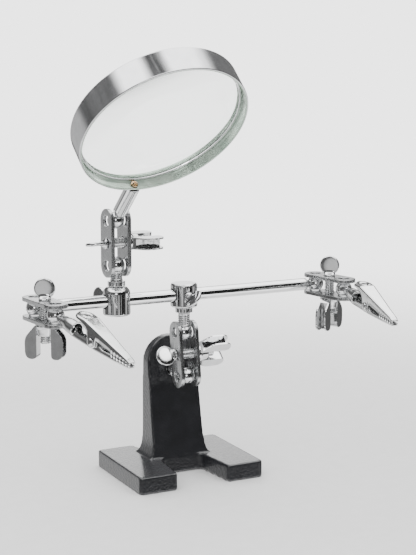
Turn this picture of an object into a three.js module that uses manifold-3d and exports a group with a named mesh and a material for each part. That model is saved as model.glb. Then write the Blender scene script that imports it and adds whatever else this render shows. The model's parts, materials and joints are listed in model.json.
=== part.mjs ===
// Helping hands clamp for an electronics bench.
//
// A cast iron foot carries a ball stud. A two-plate clamp grips that ball and the ball under a
// coupler, the coupler holds a long horizontal rod, and each end of the rod carries another
// two-plate clamp with a crocodile clip. A second coupler on the rod carries an upper clamp and
// a round magnifier.
//
// Units are millimetres. +Z is up, X runs along the rod and -Y is the front. The origin is on
// the underside of the foot, at the middle of its outline.

import * as THREE from 'three';
import { mergeVertices } from 'three/addons/utils/BufferGeometryUtils.js';
import Module from 'manifold-3d';

const wasm = await Module();
wasm.setup();

// ---------------------------------------------------------------- driving dimensions

const GAP = 0.3; // clearance between neighbouring solids
const SIDES = 12; // facets round a ball or a shaft

const base = {
  width: 65,
  depth: 53,
  height: 8.2,
  corner: 2,
  edge: 0.8, // rounding of the top edge
  notchHalf: 11, // half width of both notches at their inner wall
  notchFlare: 2.4, // how much wider a notch is at its mouth, each side
  notchCorner: 3,
  frontWall: -1.8, // Y of the front notch's inner wall, which the column stands on
  rearWall: 16.7,
};

const column = {
  half: 13.1,
  top: 67,
  flareHalf: 16.5, // half width where the column runs into the foot
  flareTop: 20, // height where the fillets end
  frontTop: 8.7, // Y of the leaning front face at the top
  back: 13.9,
};

const ball = { radius: 4, neck: 1.9 };
const clamp = {
  pitch: 21, // distance between the two balls that a clamp grips
  endRadius: 5.6,
  thickness: 1.8,
  inner: 3.4, // half of the gap between the plates
  seat: 2.7, // radius of the ball seat holes
  bolt: 2.4, // radius of the clamp bolt, an M5 with a thumb paddle
  boltHole: 2.8,
  boltEnd: 14.5,
};
const paddle = { radius: 4.8, thickness: 1.7, centre: 10.4 };
// Wing nuts are pressed from sheet. Each wing is a channel that opens away from the bolt.
const nut = {
  hub: 4.5,
  hubTop: 3.5,
  hubLength: 5.5,
  reach: 9,
  length: 16,
  width: 5.6, // across a wing, outside its two flanges
  sheet: 0.8,
  web: 3.4, // from the bolt's axis to the inner face of a wing
};

const rod = { radius: 3, y: -5.9, z: 89.3, leftBall: -75.2, rightBall: 73.4, ballToRod: 5.8 };
const tapping = { radius: 1.5, hole: 1.8, depth: 6 }; // threaded pin that joins a ball to a bar
const coupler = { radius: 6.5, half: 5.8, chamfer: 0.9, rodHole: 3.3, screw: 2, screwHole: 2.3 };
const magnifierCoupler = { x: -34.9, half: 6.8, upperBall: 16.8 };
// The neck and collar of the ball stud that is pressed into each coupler.
const couplerNeck = { neck: 2.9, collar: 4.1, collarDepth: 2.6 };
// The collar and shank of the ball stud in the foot's column, measured from the ball.
const footNeck = { collarStart: 10.5, collarEnd: 12.2, collar: 3.6, shankEnd: 24.3 };

const baseBall = { y: -8.55, z: 50.2 };
const stud = { shank: 3, shankHole: 3.3 };

const clip = {
  barrelStart: 8,
  barrelEnd: 17,
  studEnd: 12.5, // the stud stops short, so the barrel is open in front of it
  barrelRadius: 3.5,
  barrelBore: 2.7,
  wall: 0.7,
  pivotX: 32,
  pivotZ: 0.6,
  earRadius: 2.7,
  padX: 22,
  padZ: 8.8,
  padRadius: 4.4,
  tipX: 57,
  tipHalf: 1.7,
  teethEnd: 45, // where the teeth stop and the jaws part
  gapX: 39, // the rear end of the open gap behind the teeth
  lowerHalf: 2.3, // half width of the lower jaw, which runs inside the upper one
  rivet: 1.2,
  rivetHole: 1.5,
  rivetHead: 2,
  wire: 0.35, // radius of the spring wire
  coil: 1.75, // radius of the spring's coil
  // Height of the lower jaw's underside at its rear, at its middle and at the tip.
  floor: { rearZ: -3.4, middleX: 34, middleZ: -3.1, tipZ: -1.6 },
};

// The torsion spring in a clip: its turns, half its width, and where its two legs end.
const spring = { turns: 2.5, width: 1, start: Math.PI * 0.6, upperLegZ: 7.2, lowerLegZ: -1.9 };

const head = {
  stemRadius: 3.3,
  stemStart: 5.8,
  centre: 62.9, // from the stem's ball to the middle of the lens
  rimOuter: 38.8,
  rimWall: 1.2,
  front: -2.4, // the rim's front edge, measured along the lens axis from the stem
  back: 10.1,
  lip: 6.2, // where the inner lip behind the lens starts
  lipDepth: 1.2,
  lipInner: 36,
  lensEdge: 3,
  lensBulge: 2.4,
  sides: 40, // facets round the rim and the lens
};

// Angles of the pose that the object rests in, in degrees.
const pose = {
  lowerClampLean: -7.25,
  leftClampTurn: -84,
  rightClampTurn: -80,
  leftClip: { yaw: -76.5, down: 13 },
  rightClip: { yaw: -98.5, down: 6.2 },
  magnifierTurn: 5,
  magnifierTilt: 45.1,
  centreScrewTurn: -95,
  magnifierScrewTurn: 105,
  thumbRoll: { centre: 41, magnifier: 0 }, // each coupler screw about its own axis
  paddle: { lower: -20, left: 124, right: 138, upper: 80 }, // each clamp bolt about its axis
  nut: { lower: 50, left: -45, right: 70, upper: 95 }, // each wing nut about its axis
};

// ---------------------------------------------------------------- finishes

const finishes = {
  castIron: { color: 0x15161a, roughness: 0.38, metalness: 0.0 },
  chrome: { color: 0xdcdee0, roughness: 0.12, metalness: 1.0 },
  plateNickel: { color: 0xb9bbbd, roughness: 0.28, metalness: 1.0 },
  polishedSteel: { color: 0xc9cacc, roughness: 0.2, metalness: 1.0 },
  brass: { color: 0x9a7a58, roughness: 0.3, metalness: 1.0 },
  springSteel: { color: 0x8e9093, roughness: 0.3, metalness: 1.0 },
  glass: { color: 0xe6f0ec, roughness: 0.02, metalness: 0.0, transparent: true, opacity: 0.3 },
};

// ---------------------------------------------------------------- helpers

const radians = THREE.MathUtils.degToRad;

// A closed geometry as a manifold solid: shared corners merged, collapsed triangles dropped.
function solid(geometry) {
  const bare = geometry.clone();
  bare.deleteAttribute('normal');
  bare.deleteAttribute('uv');
  const merged = mergeVertices(bare, 1e-4);
  const corners = merged.index.array;
  const kept = [];
  for (let i = 0; i < corners.length; i += 3) {
    const [a, b, c] = corners.slice(i, i + 3);
    if (a !== b && b !== c && c !== a) {
      kept.push(a, b, c);
    }
  }
  const vertProperties = new Float32Array(merged.attributes.position.array);
  const triVerts = new Uint32Array(kept);
  return new wasm.Manifold(new wasm.Mesh({ numProp: 3, vertProperties, triVerts }));
}

function geometryOf(body) {
  const mesh = body.getMesh();
  const geometry = new THREE.BufferGeometry();
  geometry.setAttribute('position', new THREE.BufferAttribute(mesh.vertProperties, 3));
  geometry.setIndex(new THREE.BufferAttribute(mesh.triVerts, 1));
  geometry.computeVertexNormals();
  return geometry;
}

// A body of revolution about X. The profile is a list of [x, radius] from left to right that
// starts and ends on the axis, or a closed loop.
function turned(profile, sides = SIDES) {
  const points = profile.map(([x, radius]) => new THREE.Vector2(radius, x));
  return new THREE.LatheGeometry(points, sides).rotateZ(-Math.PI / 2);
}

// A round bar along X.
function bar(radius, from, to, sides = SIDES) {
  const length = to - from;
  const geometry = new THREE.CylinderGeometry(radius, radius, length, sides);
  return geometry.rotateZ(-Math.PI / 2).translate((from + to) / 2, 0, 0);
}

const alongY = (geometry) => geometry.rotateZ(Math.PI / 2);
const alongZ = (geometry) => geometry.rotateY(-Math.PI / 2);

// The planes that an outline is drawn in, by the axis it is then extruded along.
const planes = {
  x: { across: [0, 1, 0], up: [0, 0, 1], out: [1, 0, 0] },
  y: { across: [1, 0, 0], up: [0, 0, 1], out: [0, -1, 0] },
  z: { across: [1, 0, 0], up: [0, 1, 0], out: [0, 0, 1] },
};

function extruded(shape, axis, from, to, options = {}) {
  const { across, up, out } = planes[axis];
  const settings = { depth: to - from, bevelEnabled: false, curveSegments: 6, ...options };
  const geometry = new THREE.ExtrudeGeometry(shape, settings);
  const columns = [across, up, out].map((v) => new THREE.Vector3(...v));
  geometry.applyMatrix4(new THREE.Matrix4().makeBasis(...columns));
  const start = axis === 'y' ? to : from;
  const shift = { x: [start, 0, 0], y: [0, start, 0], z: [0, 0, start] }[axis];
  return geometry.translate(...shift);
}

function outline(points) {
  return new THREE.Shape(points.map(([x, y]) => new THREE.Vector2(x, y)));
}

function circle(x, y, radius) {
  return new THREE.Path().absarc(x, y, radius, 0, 2 * Math.PI);
}

function piece(parent, name, body, finish) {
  const geometry = body.isBufferGeometry ? geometryOf(solid(body)) : geometryOf(body);
  const mesh = new THREE.Mesh(geometry, new THREE.MeshStandardMaterial(finishes[finish]));
  mesh.name = name;
  parent.add(mesh);
  return mesh;
}

function group(parent, x, y, z) {
  const made = new THREE.Group();
  made.position.set(x, y, z);
  parent.add(made);
  return made;
}

// ---------------------------------------------------------------- foot and column

function footOutline() {
  const { width, depth, corner, notchHalf, notchFlare, notchCorner, frontWall, rearWall } = base;
  const x = width / 2;
  const y = depth / 2;
  const mouth = notchHalf + notchFlare;
  const shape = new THREE.Shape();
  shape.moveTo(-x + corner, -y);
  shape.lineTo(-mouth, -y);
  shape.lineTo(-notchHalf, frontWall - notchCorner);
  shape.quadraticCurveTo(-notchHalf, frontWall, -notchHalf + notchCorner, frontWall);
  shape.lineTo(notchHalf - notchCorner, frontWall);
  shape.quadraticCurveTo(notchHalf, frontWall, notchHalf, frontWall - notchCorner);
  shape.lineTo(mouth, -y);
  shape.lineTo(x - corner, -y);
  shape.quadraticCurveTo(x, -y, x, -y + corner);
  shape.lineTo(x, y - corner);
  shape.quadraticCurveTo(x, y, x - corner, y);
  shape.lineTo(mouth, y);
  shape.lineTo(notchHalf, rearWall + notchCorner);
  shape.quadraticCurveTo(notchHalf, rearWall, notchHalf - notchCorner, rearWall);
  shape.lineTo(-notchHalf + notchCorner, rearWall);
  shape.quadraticCurveTo(-notchHalf, rearWall, -notchHalf, rearWall + notchCorner);
  shape.lineTo(-mouth, y);
  shape.lineTo(-x + corner, y);
  shape.quadraticCurveTo(-x, y, -x, y - corner);
  shape.lineTo(-x, -y + corner);
  shape.quadraticCurveTo(-x, -y, -x + corner, -y);
  return shape;
}

// The front view of the column: fillets at the foot and a round top.
function columnFront() {
  const { half, top, flareHalf, flareTop } = column;
  const shape = new THREE.Shape();
  shape.moveTo(-flareHalf, 0.5);
  shape.lineTo(flareHalf, 0.5);
  shape.lineTo(flareHalf, base.height);
  shape.quadraticCurveTo(half + 0.6, base.height + 1, half + 0.5, flareTop);
  shape.lineTo(half, top - half);
  shape.absarc(0, top - half, half, 0, Math.PI);
  shape.lineTo(-half - 0.5, flareTop);
  shape.quadraticCurveTo(-half - 0.6, base.height + 1, -flareHalf, base.height);
  return shape;
}

// The side view of the column: a leaning, slightly hollow front and an upright back.
function columnSide() {
  const { top, frontTop, back, flareTop } = column;
  const shape = new THREE.Shape();
  shape.moveTo(base.frontWall, 0.5);
  shape.lineTo(base.rearWall, 0.5);
  shape.lineTo(base.rearWall, base.height);
  shape.quadraticCurveTo(back, base.height + 1, back, flareTop);
  shape.lineTo(back, top);
  shape.lineTo(frontTop, top);
  shape.quadraticCurveTo(4.2, 30, base.frontWall, 0.5);
  return shape;
}

function baseCasting() {
  const bevel = {
    bevelEnabled: true,
    bevelSegments: 2,
    bevelSize: base.edge,
    bevelThickness: base.edge,
    bevelOffset: -base.edge,
    curveSegments: 4,
  };
  const foot = extruded(footOutline(), 'z', -base.edge, base.height - base.edge, bevel);
  const below = new THREE.BoxGeometry(2 * base.width, 2 * base.depth, 10).translate(0, 0, -5);
  const front = extruded(columnFront(), 'y', -base.depth, base.depth);
  const side = extruded(columnSide(), 'x', -base.width, base.width);
  const upright = solid(front).intersect(solid(side));
  const bore = alongY(bar(stud.shankHole, -base.depth, base.depth)).translate(0, 0, baseBall.z);
  return solid(foot).subtract(solid(below)).add(upright).subtract(solid(bore));
}

// ---------------------------------------------------------------- balls and studs

// The round part of a ball that has its neck on the +X side, as profile points.
function ballProfile(neck = ball.neck) {
  const steps = 7;
  const last = Math.asin(neck / ball.radius);
  const points = [];
  for (let i = 0; i <= steps; i += 1) {
    const angle = Math.PI + (i / steps) * (last - Math.PI);
    points.push([ball.radius * Math.cos(angle), Math.max(0, ball.radius * Math.sin(angle))]);
  }
  points[0][1] = 0;
  return points;
}

// A ball with a neck and a shank that turns in a bore.
function ballStud(neckEnd, collarEnd, collarRadius, shankEnd, shankRadius, neck = ball.neck) {
  const profile = ballProfile(neck);
  profile.push([neckEnd, neck], [neckEnd, collarRadius], [collarEnd, collarRadius]);
  profile.push([collarEnd, shankRadius], [shankEnd, shankRadius], [shankEnd, 0]);
  return turned(profile);
}

// A ball with a threaded pin that is screwed into the end of a bar.
function screwedBall(shoulder) {
  const pinEnd = shoulder + tapping.depth - 2 * GAP;
  const profile = ballProfile();
  profile.push([shoulder - GAP, ball.neck], [shoulder - GAP, tapping.radius]);
  profile.push([pinEnd, tapping.radius], [pinEnd, 0]);
  return turned(profile);
}

// ---------------------------------------------------------------- two-plate clamp

function clampPlate(from) {
  const { pitch, endRadius, thickness, seat, boltHole } = clamp;
  const shape = new THREE.Shape();
  shape.absarc(0, 0, endRadius, Math.PI, 2 * Math.PI);
  shape.absarc(0, pitch, endRadius, 0, Math.PI);
  shape.closePath();
  shape.holes.push(circle(0, 0, seat), circle(0, pitch, seat), circle(0, pitch / 2, boltHole));
  return extruded(shape, 'x', from, from + thickness);
}

// A screw along X whose flat round thumb paddle is on the -X side.
function paddleScrew(shaftRadius, shaftEnd, neckStart, paddleCentre) {
  const { radius, thickness } = paddle;
  const disc = alongY(bar(radius, -thickness / 2, thickness / 2)).translate(paddleCentre, 0, 0);
  const profile = [
    [paddleCentre, 0],
    [paddleCentre, thickness / 2],
    [neckStart - 1.9, thickness / 2 + 0.4],
    [neckStart - 0.8, shaftRadius + 0.2],
    [neckStart, shaftRadius + 0.2],
    [neckStart, shaftRadius],
    [shaftEnd, shaftRadius],
    [shaftEnd, 0],
  ];
  return solid(turned(profile, 12)).add(solid(disc));
}

// The side of one flared wing in the plane of X and Z, starting inside the hub.
function wingOutline() {
  const { reach, length, web, hub } = nut;
  const shape = new THREE.Shape();
  shape.moveTo(0.8, web);
  shape.lineTo(0.8, hub - 0.3);
  shape.quadraticCurveTo(3, reach * 0.62, length * 0.34, reach * 0.9);
  shape.quadraticCurveTo(length * 0.45, reach, length * 0.6, reach);
  shape.lineTo(length - 2, reach);
  shape.quadraticCurveTo(length, reach, length, reach - 2.2);
  shape.lineTo(length, web);
  return shape;
}

// A wing nut whose seat is at the origin and whose wings open towards +X.
function wingNut() {
  const { hub, hubTop, hubLength, width, sheet, web, length, reach } = nut;
  const profile = [[0, 0], [0, hub], [1.4, hub], [hubLength, hubTop], [hubLength, 0]];
  const slotStart = 2.2;
  let body = solid(turned(profile));
  for (const side of [0, Math.PI]) {
    const wing = extruded(wingOutline(), 'y', -width / 2, width / 2, { curveSegments: 4 });
    const slotShape = outline([
      [slotStart, web + sheet],
      [length + 1, web + sheet],
      [length + 1, reach + 1],
      [slotStart, reach + 1],
    ]);
    const slot = extruded(slotShape, 'y', sheet - width / 2, width / 2 - sheet);
    const channel = solid(wing.rotateX(side)).subtract(solid(slot.rotateX(side)));
    body = body.add(channel);
  }
  return body.subtract(solid(bar(clamp.boltHole - 0.1, -1, hubLength + 1, 12)));
}

// Balls sit at the group's origin and at +Z. The bolt runs along X with its paddle at -X.
function addClamp(parent, names, paddleTurn, nutTurn) {
  const { inner, thickness, pitch, bolt, boltEnd } = clamp;
  const outer = inner + thickness;
  piece(parent, names.first, clampPlate(-outer), 'plateNickel');
  piece(parent, names.second, clampPlate(inner), 'plateNickel');
  const screw = piece(
    parent, names.bolt, paddleScrew(bolt, boltEnd, -outer - GAP, -paddle.centre), 'chrome',
  );
  screw.position.z = pitch / 2;
  screw.rotation.x = radians(paddleTurn);
  const wings = piece(parent, names.nut, wingNut(), 'chrome');
  wings.position.set(outer + GAP, 0, pitch / 2);
  wings.rotation.x = radians(nutTurn);
}

// ---------------------------------------------------------------- rod couplers

// An upright cylinder with a cross hole for the rod, a tapped hole for its thumb screw, and a
// bore for the ball stud at one end.
function couplerBody(half, studSide, screwTurn) {
  const { radius, chamfer, rodHole, screwHole } = coupler;
  const profile = [
    [-half, 0],
    [-half, radius - chamfer],
    [-half + chamfer, radius],
    [half - chamfer, radius],
    [half, radius - chamfer],
    [half, 0],
  ];
  const body = solid(alongZ(turned(profile, 20)));
  const rodBore = bar(rodHole, -2 * radius, 2 * radius);
  const studBore = alongZ(bar(stud.shankHole - 0.5, 0, 2 * half));
  const screwBore = bar(screwHole, 0, 2 * radius, 12).rotateZ(radians(screwTurn));
  if (studSide < 0) {
    studBore.rotateX(Math.PI);
  }
  return body.subtract(solid(rodBore)).subtract(solid(studBore)).subtract(solid(screwBore));
}

// The ball stud of a coupler, with the ball at the origin and its shank along +Z.
function couplerStud(distance, half) {
  const face = distance - half;
  const shankEnd = distance - coupler.rodHole - GAP;
  const { collar, collarDepth, neck } = couplerNeck;
  const shank = stud.shank - 0.5;
  return alongZ(ballStud(face - collarDepth, face - GAP, collar, shankEnd, shank, neck));
}

function addThumbScrew(parent, name, turn, roll) {
  const holder = group(parent, 0, 0, 0);
  holder.rotation.z = radians(turn + 180);
  const { radius, rodHole, screw } = coupler;
  const centre = -(radius + 1 + paddle.radius + 0.6);
  const body = paddleScrew(screw, -rodHole - screw / 2 - GAP, -radius - GAP, centre);
  piece(holder, name, body, 'chrome').rotation.x = radians(roll);
}

// ---------------------------------------------------------------- crocodile clip

// Clip frame: the ball at the origin, the tip along +X, the thumb pad towards +Z.

// The jaws' half width at a distance along the clip.
function jawHalf(x) {
  const { padX, padRadius, tipX, tipHalf } = clip;
  return padRadius + ((tipHalf - padRadius) * (x - padX)) / (tipX - padX);
}

// The plan of a jaw from its rear end to the tip, drawn inwards by the wall's thickness.
function jawPlan(rear, rearHalf, inset, front) {
  const tipHalf = clip.tipHalf - inset;
  return outline([
    [rear, -rearHalf + inset],
    [clip.pivotX + 4, -Math.min(rearHalf, jawHalf(clip.pivotX + 4)) + inset],
    [front, -tipHalf],
    [front, tipHalf],
    [clip.pivotX + 4, Math.min(rearHalf, jawHalf(clip.pivotX + 4)) - inset],
    [rear, rearHalf - inset],
  ]);
}

// The plan of the upper jaw: a round thumb pad that tapers to the tip.
function padPlan(inset, front) {
  const { padX, padRadius, tipHalf } = clip;
  const shape = new THREE.Shape();
  const lean = Math.PI / 2 - 0.08;
  shape.absarc(padX, 0, padRadius - inset, lean, 2 * Math.PI - lean);
  shape.lineTo(front, -tipHalf + inset);
  shape.lineTo(front, tipHalf - inset);
  return shape;
}

// The side view of the upper jaw, with a row of teeth under its front half.
function upperSide() {
  const { padX, padZ, padRadius, tipX, pivotX, pivotZ, earRadius, teethEnd, gapX } = clip;
  const shape = new THREE.Shape();
  shape.moveTo(padX - padRadius - 1, padZ);
  shape.lineTo(padX + padRadius, padZ);
  shape.lineTo(tipX - 2, 2.3);
  shape.lineTo(tipX, 1.4);
  addTeeth(shape, tipX, teethEnd, 0.15, 0.9);
  shape.lineTo(gapX, 1.7);
  shape.lineTo(pivotX + earRadius + 0.6, 2.2);
  shape.absarc(pivotX, pivotZ, earRadius, 0.45, -Math.PI - 0.3, true);
  shape.lineTo(padX + 5.6, 4.6);
  shape.lineTo(padX + 1.5, 6.9);
  shape.lineTo(padX - padRadius - 1, 8.1);
  return shape;
}

// The side view of the lower jaw, whose teeth face the upper ones.
function lowerSide() {
  const { barrelEnd, tipX, pivotX, pivotZ, earRadius, floor, teethEnd, gapX } = clip;
  const shape = new THREE.Shape();
  shape.moveTo(barrelEnd - 2, floor.rearZ);
  shape.lineTo(floor.middleX, floor.middleZ);
  shape.lineTo(tipX, floor.tipZ);
  addTeeth(shape, tipX, teethEnd, -0.15, -0.9);
  shape.lineTo(gapX, -0.6);
  shape.lineTo(pivotX + earRadius + 0.6, 0.4);
  shape.absarc(pivotX, pivotZ, earRadius, 0.1, Math.PI - 0.3);
  shape.lineTo(barrelEnd + 4, -0.6);
  shape.lineTo(barrelEnd - 2, -1.4);
  return shape;
}

// Teeth along a jaw from the tip back to a station: flat crests with vees cut between them.
function addTeeth(shape, from, to, crest, depth) {
  const pitch = 3.2;
  for (let x = from; x > to; x -= pitch) {
    shape.lineTo(x, crest);
    shape.lineTo(x - pitch * 0.3, crest);
    shape.lineTo(x - pitch * 0.65, crest + depth);
  }
  shape.lineTo(to, crest);
}

function crossBore() {
  const bore = alongY(bar(clip.rivetHole, -10, 10, 12));
  return solid(bore.translate(clip.pivotX, 0, clip.pivotZ));
}

function upperJaw() {
  const { padX, padZ, padRadius, wall, tipX } = clip;
  const plan = extruded(padPlan(0, tipX), 'z', -10, 20);
  const side = extruded(upperSide(), 'y', -8, 8);
  const hollowPlan = extruded(padPlan(wall, tipX + 1), 'z', -10, 20);
  const underWeb = outline([
    [padX - padRadius - 2, padZ - wall],
    [padX + padRadius - 0.2, padZ - wall],
    [tipX + 2, 1.1],
    [tipX + 2, -12],
    [padX - padRadius - 2, -12],
  ]);
  const hollow = solid(hollowPlan).intersect(solid(extruded(underWeb, 'y', -8, 8)));
  return solid(plan).intersect(solid(side)).subtract(hollow).subtract(crossBore());
}

function lowerJaw() {
  const { barrelStart, barrelEnd, barrelRadius, barrelBore } = clip;
  const { wall, tipX, lowerHalf, floor } = clip;
  const plan = extruded(jawPlan(barrelEnd - 2, lowerHalf, 0, tipX), 'z', -10, 10);
  const side = extruded(lowerSide(), 'y', -8, 8);
  const hollowPlan = extruded(jawPlan(barrelEnd - 3, lowerHalf, wall, tipX + 1), 'z', -10, 10);
  const aboveFloor = outline([
    [barrelEnd - 4, floor.rearZ + wall],
    [floor.middleX, floor.middleZ + wall],
    [tipX + 2, floor.tipZ + wall],
    [tipX + 2, 12],
    [barrelEnd - 4, 12],
  ]);
  const hollow = solid(hollowPlan).intersect(solid(extruded(aboveFloor, 'y', -8, 8)));
  const channel = solid(plan).intersect(solid(side)).subtract(hollow);
  const barrel = solid(turned([
    [barrelStart, 0],
    [barrelStart, barrelRadius - 0.7],
    [barrelEnd - 4, barrelRadius],
    [barrelEnd, barrelRadius],
    [barrelEnd, 0],
  ]));
  const bore = solid(bar(barrelBore, barrelStart - 1, barrelEnd + 1));
  return channel.add(barrel).subtract(bore).subtract(crossBore());
}

function pivotRivet() {
  const { rivet, rivetHead, pivotX, pivotZ } = clip;
  const outer = jawHalf(pivotX) + GAP;
  const profile = [
    [-outer - 0.7, 0],
    [-outer - 0.7, rivetHead * 0.7],
    [-outer, rivetHead],
    [-outer, rivet],
    [outer, rivet],
    [outer, rivetHead],
    [outer + 0.7, rivetHead * 0.7],
    [outer + 0.7, 0],
  ];
  return alongY(turned(profile, 12)).translate(pivotX, 0, pivotZ);
}

// A torsion spring coiled round the rivet, with one leg under the thumb pad and one on the floor.
function clipSpring() {
  const { wire, coil, pivotX, pivotZ, padX } = clip;
  const { turns, width, start, upperLegZ, lowerLegZ } = spring;
  const points = [new THREE.Vector3(padX, -width, upperLegZ)];
  const steps = 22;
  for (let i = 0; i <= steps; i += 1) {
    const angle = start - (i / steps) * turns * 2 * Math.PI;
    const y = -width + (i / steps) * 2 * width;
    const x = pivotX + coil * Math.cos(angle);
    points.push(new THREE.Vector3(x, y, pivotZ + coil * Math.sin(angle)));
  }
  points.push(new THREE.Vector3(padX, width, lowerLegZ));
  const path = new THREE.CatmullRomCurve3(points, false, 'centripetal');
  const section = new THREE.Shape().absarc(0, 0, wire, 0, 2 * Math.PI);
  const options = { steps: 44, curveSegments: 2, bevelEnabled: false, extrudePath: path };
  return new THREE.ExtrudeGeometry(section, options);
}

function addClip(parent, side) {
  const { barrelStart, barrelBore } = clip;
  const profile = ballProfile();
  const shank = barrelBore - GAP;
  profile.push([barrelStart - 2, ball.neck], [barrelStart - 1.4, shank]);
  profile.push([clip.studEnd, shank], [clip.studEnd, 0]);
  piece(parent, `${side}_clip_ball_stud`, turned(profile), 'chrome');
  piece(parent, `${side}_clip_lower_jaw`, lowerJaw(), 'chrome');
  piece(parent, `${side}_clip_upper_jaw`, upperJaw(), 'chrome');
  piece(parent, `${side}_clip_pivot_rivet`, pivotRivet(), 'chrome');
  piece(parent, `${side}_clip_spring`, clipSpring(), 'springSteel');
}

// ---------------------------------------------------------------- magnifier

// Head frame: the ball at the origin, the stem along +Z, the lens axis along Y.

function magnifierRim() {
  const { rimOuter, rimWall, front, back, lip, lipDepth, lipInner, centre } = head;
  const inner = rimOuter - rimWall;
  const edge = 0.4;
  const profile = [
    [front, inner],
    [front, rimOuter - edge],
    [front + edge, rimOuter],
    [back - edge, rimOuter],
    [back, rimOuter - edge],
    [back, inner],
    [lip + lipDepth, inner],
    [lip + lipDepth, lipInner],
    [lip, lipInner],
    [lip, inner],
    [front, inner],
  ];
  const body = solid(alongY(turned(profile, head.sides)).translate(0, 0, centre));
  return body.subtract(solid(alongZ(bar(tapping.hole, 10, centre, 12))));
}

function lens() {
  const { rimOuter, rimWall, lip, lensEdge, lensBulge, centre } = head;
  const radius = rimOuter - rimWall - GAP;
  const back = lip - GAP;
  const front = back - lensEdge;
  const rings = 3;
  const profile = [];
  for (let i = 0; i <= rings; i += 1) {
    const share = i / rings;
    profile.push([front - lensBulge * (1 - share * share), radius * share]);
  }
  for (let i = rings; i >= 0; i -= 1) {
    const share = i / rings;
    profile.push([back + lensBulge * (1 - share * share), radius * share]);
  }
  return alongY(turned(profile, head.sides)).translate(0, 0, centre);
}

function retainingRing() {
  const { rimOuter, rimWall, lip, lensEdge, centre } = head;
  const outer = rimOuter - rimWall - GAP;
  const inner = outer - 1;
  const back = lip - lensEdge - 2 * GAP;
  const front = back - 0.6;
  const profile = [[front, inner], [front, outer], [back, outer], [back, inner], [front, inner]];
  return alongY(turned(profile, head.sides)).translate(0, 0, centre);
}

function magnifierStem() {
  const { stemRadius, stemStart, centre, rimOuter } = head;
  const end = centre - rimOuter;
  const body = solid(alongZ(bar(stemRadius, stemStart, end + 1)));
  const rimSpace = solid(alongY(bar(rimOuter + GAP, -20, 20, head.sides)).translate(0, 0, centre));
  const tapped = solid(alongZ(bar(tapping.hole, stemStart - 1, stemStart + tapping.depth, 12)));
  const screwHole = solid(alongZ(bar(tapping.hole, end - tapping.depth, end + 2, 12)));
  return body.subtract(rimSpace).subtract(tapped).subtract(screwHole);
}

function rimScrew() {
  const { centre, rimOuter, rimWall } = head;
  const seat = centre - rimOuter + rimWall + GAP;
  const tip = seat - rimWall - tapping.depth + 1;
  const profile = [
    [tip, 0],
    [tip, tapping.radius],
    [seat, tapping.radius],
    [seat, 1.7],
    [seat + 0.7, 1.7],
    [seat + 1.1, 1.1],
    [seat + 1.1, 0],
  ];
  return alongZ(turned(profile, 12));
}

// ---------------------------------------------------------------- assembly

const helpingHands = new THREE.Group();

// Foot, ball stud and lower clamp.
piece(helpingHands, 'base_casting', baseCasting(), 'castIron');

const footBall = group(helpingHands, 0, baseBall.y, baseBall.z);
const footStud = ballStud(
  footNeck.collarStart, footNeck.collarEnd, footNeck.collar, footNeck.shankEnd, stud.shank,
);
piece(footBall, 'base_ball_stud', alongY(footStud), 'chrome');

const lowerClamp = group(footBall, 0, 0, 0);
lowerClamp.rotation.x = radians(pose.lowerClampLean);
addClamp(
  lowerClamp,
  {
    first: 'lower_clamp_left_plate',
    second: 'lower_clamp_right_plate',
    bolt: 'lower_clamp_bolt',
    nut: 'lower_wing_nut',
  },
  pose.paddle.lower,
  pose.nut.lower,
);

// Centre coupler, its ball stud and thumb screw, and the rod that slides through it.
const lean = radians(-pose.lowerClampLean);
const couplerBallZ = baseBall.z + clamp.pitch * Math.cos(lean);
const couplerBallY = baseBall.y + clamp.pitch * Math.sin(lean);
const couplerStudGroup = group(helpingHands, 0, couplerBallY, couplerBallZ);
const studLength = rod.z - couplerBallZ;
piece(couplerStudGroup, 'centre_coupler_ball_stud', couplerStud(studLength, coupler.half), 'chrome');

const centre = group(helpingHands, 0, rod.y, rod.z);
const centreBody = couplerBody(coupler.half, -1, pose.centreScrewTurn);
piece(centre, 'centre_coupler', centreBody, 'chrome');
addThumbScrew(centre, 'centre_thumb_screw', pose.centreScrewTurn, pose.thumbRoll.centre);

const rodStart = rod.leftBall + rod.ballToRod;
const rodEnd = rod.rightBall - rod.ballToRod;
const rodBody = solid(bar(rod.radius, rodStart, rodEnd, 20))
  .subtract(solid(bar(tapping.hole, rodStart - 1, rodStart + tapping.depth, 12)))
  .subtract(solid(bar(tapping.hole, rodEnd - tapping.depth, rodEnd + 1, 12)));
const rodGroup = group(helpingHands, 0, rod.y, rod.z);
piece(rodGroup, 'main_rod', rodBody, 'chrome');

// The two ends of the rod: a screwed-on ball, a clamp lying flat, and a crocodile clip.
function addEnd(side, x, neckTurn, clampTurn, clipPose) {
  const rodBall = group(helpingHands, x, rod.y, rod.z);
  const ballBody = screwedBall(rod.ballToRod).rotateZ(radians(neckTurn));
  piece(rodBall, `${side}_rod_ball`, ballBody, 'chrome');

  const endClamp = group(rodBall, 0, 0, 0);
  endClamp.rotation.set(0, Math.PI / 2, radians(clampTurn), 'ZYX');
  addClamp(
    endClamp,
    {
      first: `${side}_clamp_top_plate`,
      second: `${side}_clamp_bottom_plate`,
      bolt: `${side}_clamp_bolt`,
      nut: `${side}_wing_nut`,
    },
    pose.paddle[side],
    pose.nut[side],
  );

  const reachX = clamp.pitch * Math.cos(radians(clampTurn));
  const reachY = clamp.pitch * Math.sin(radians(clampTurn));
  const clipBall = group(rodBall, reachX, reachY, 0);
  clipBall.rotation.set(0, radians(clipPose.down), radians(clipPose.yaw), 'ZYX');
  addClip(clipBall, side);
}

addEnd('left', rod.leftBall, 0, pose.leftClampTurn, pose.leftClip);
addEnd('right', rod.rightBall, 180, pose.rightClampTurn, pose.rightClip);

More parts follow.
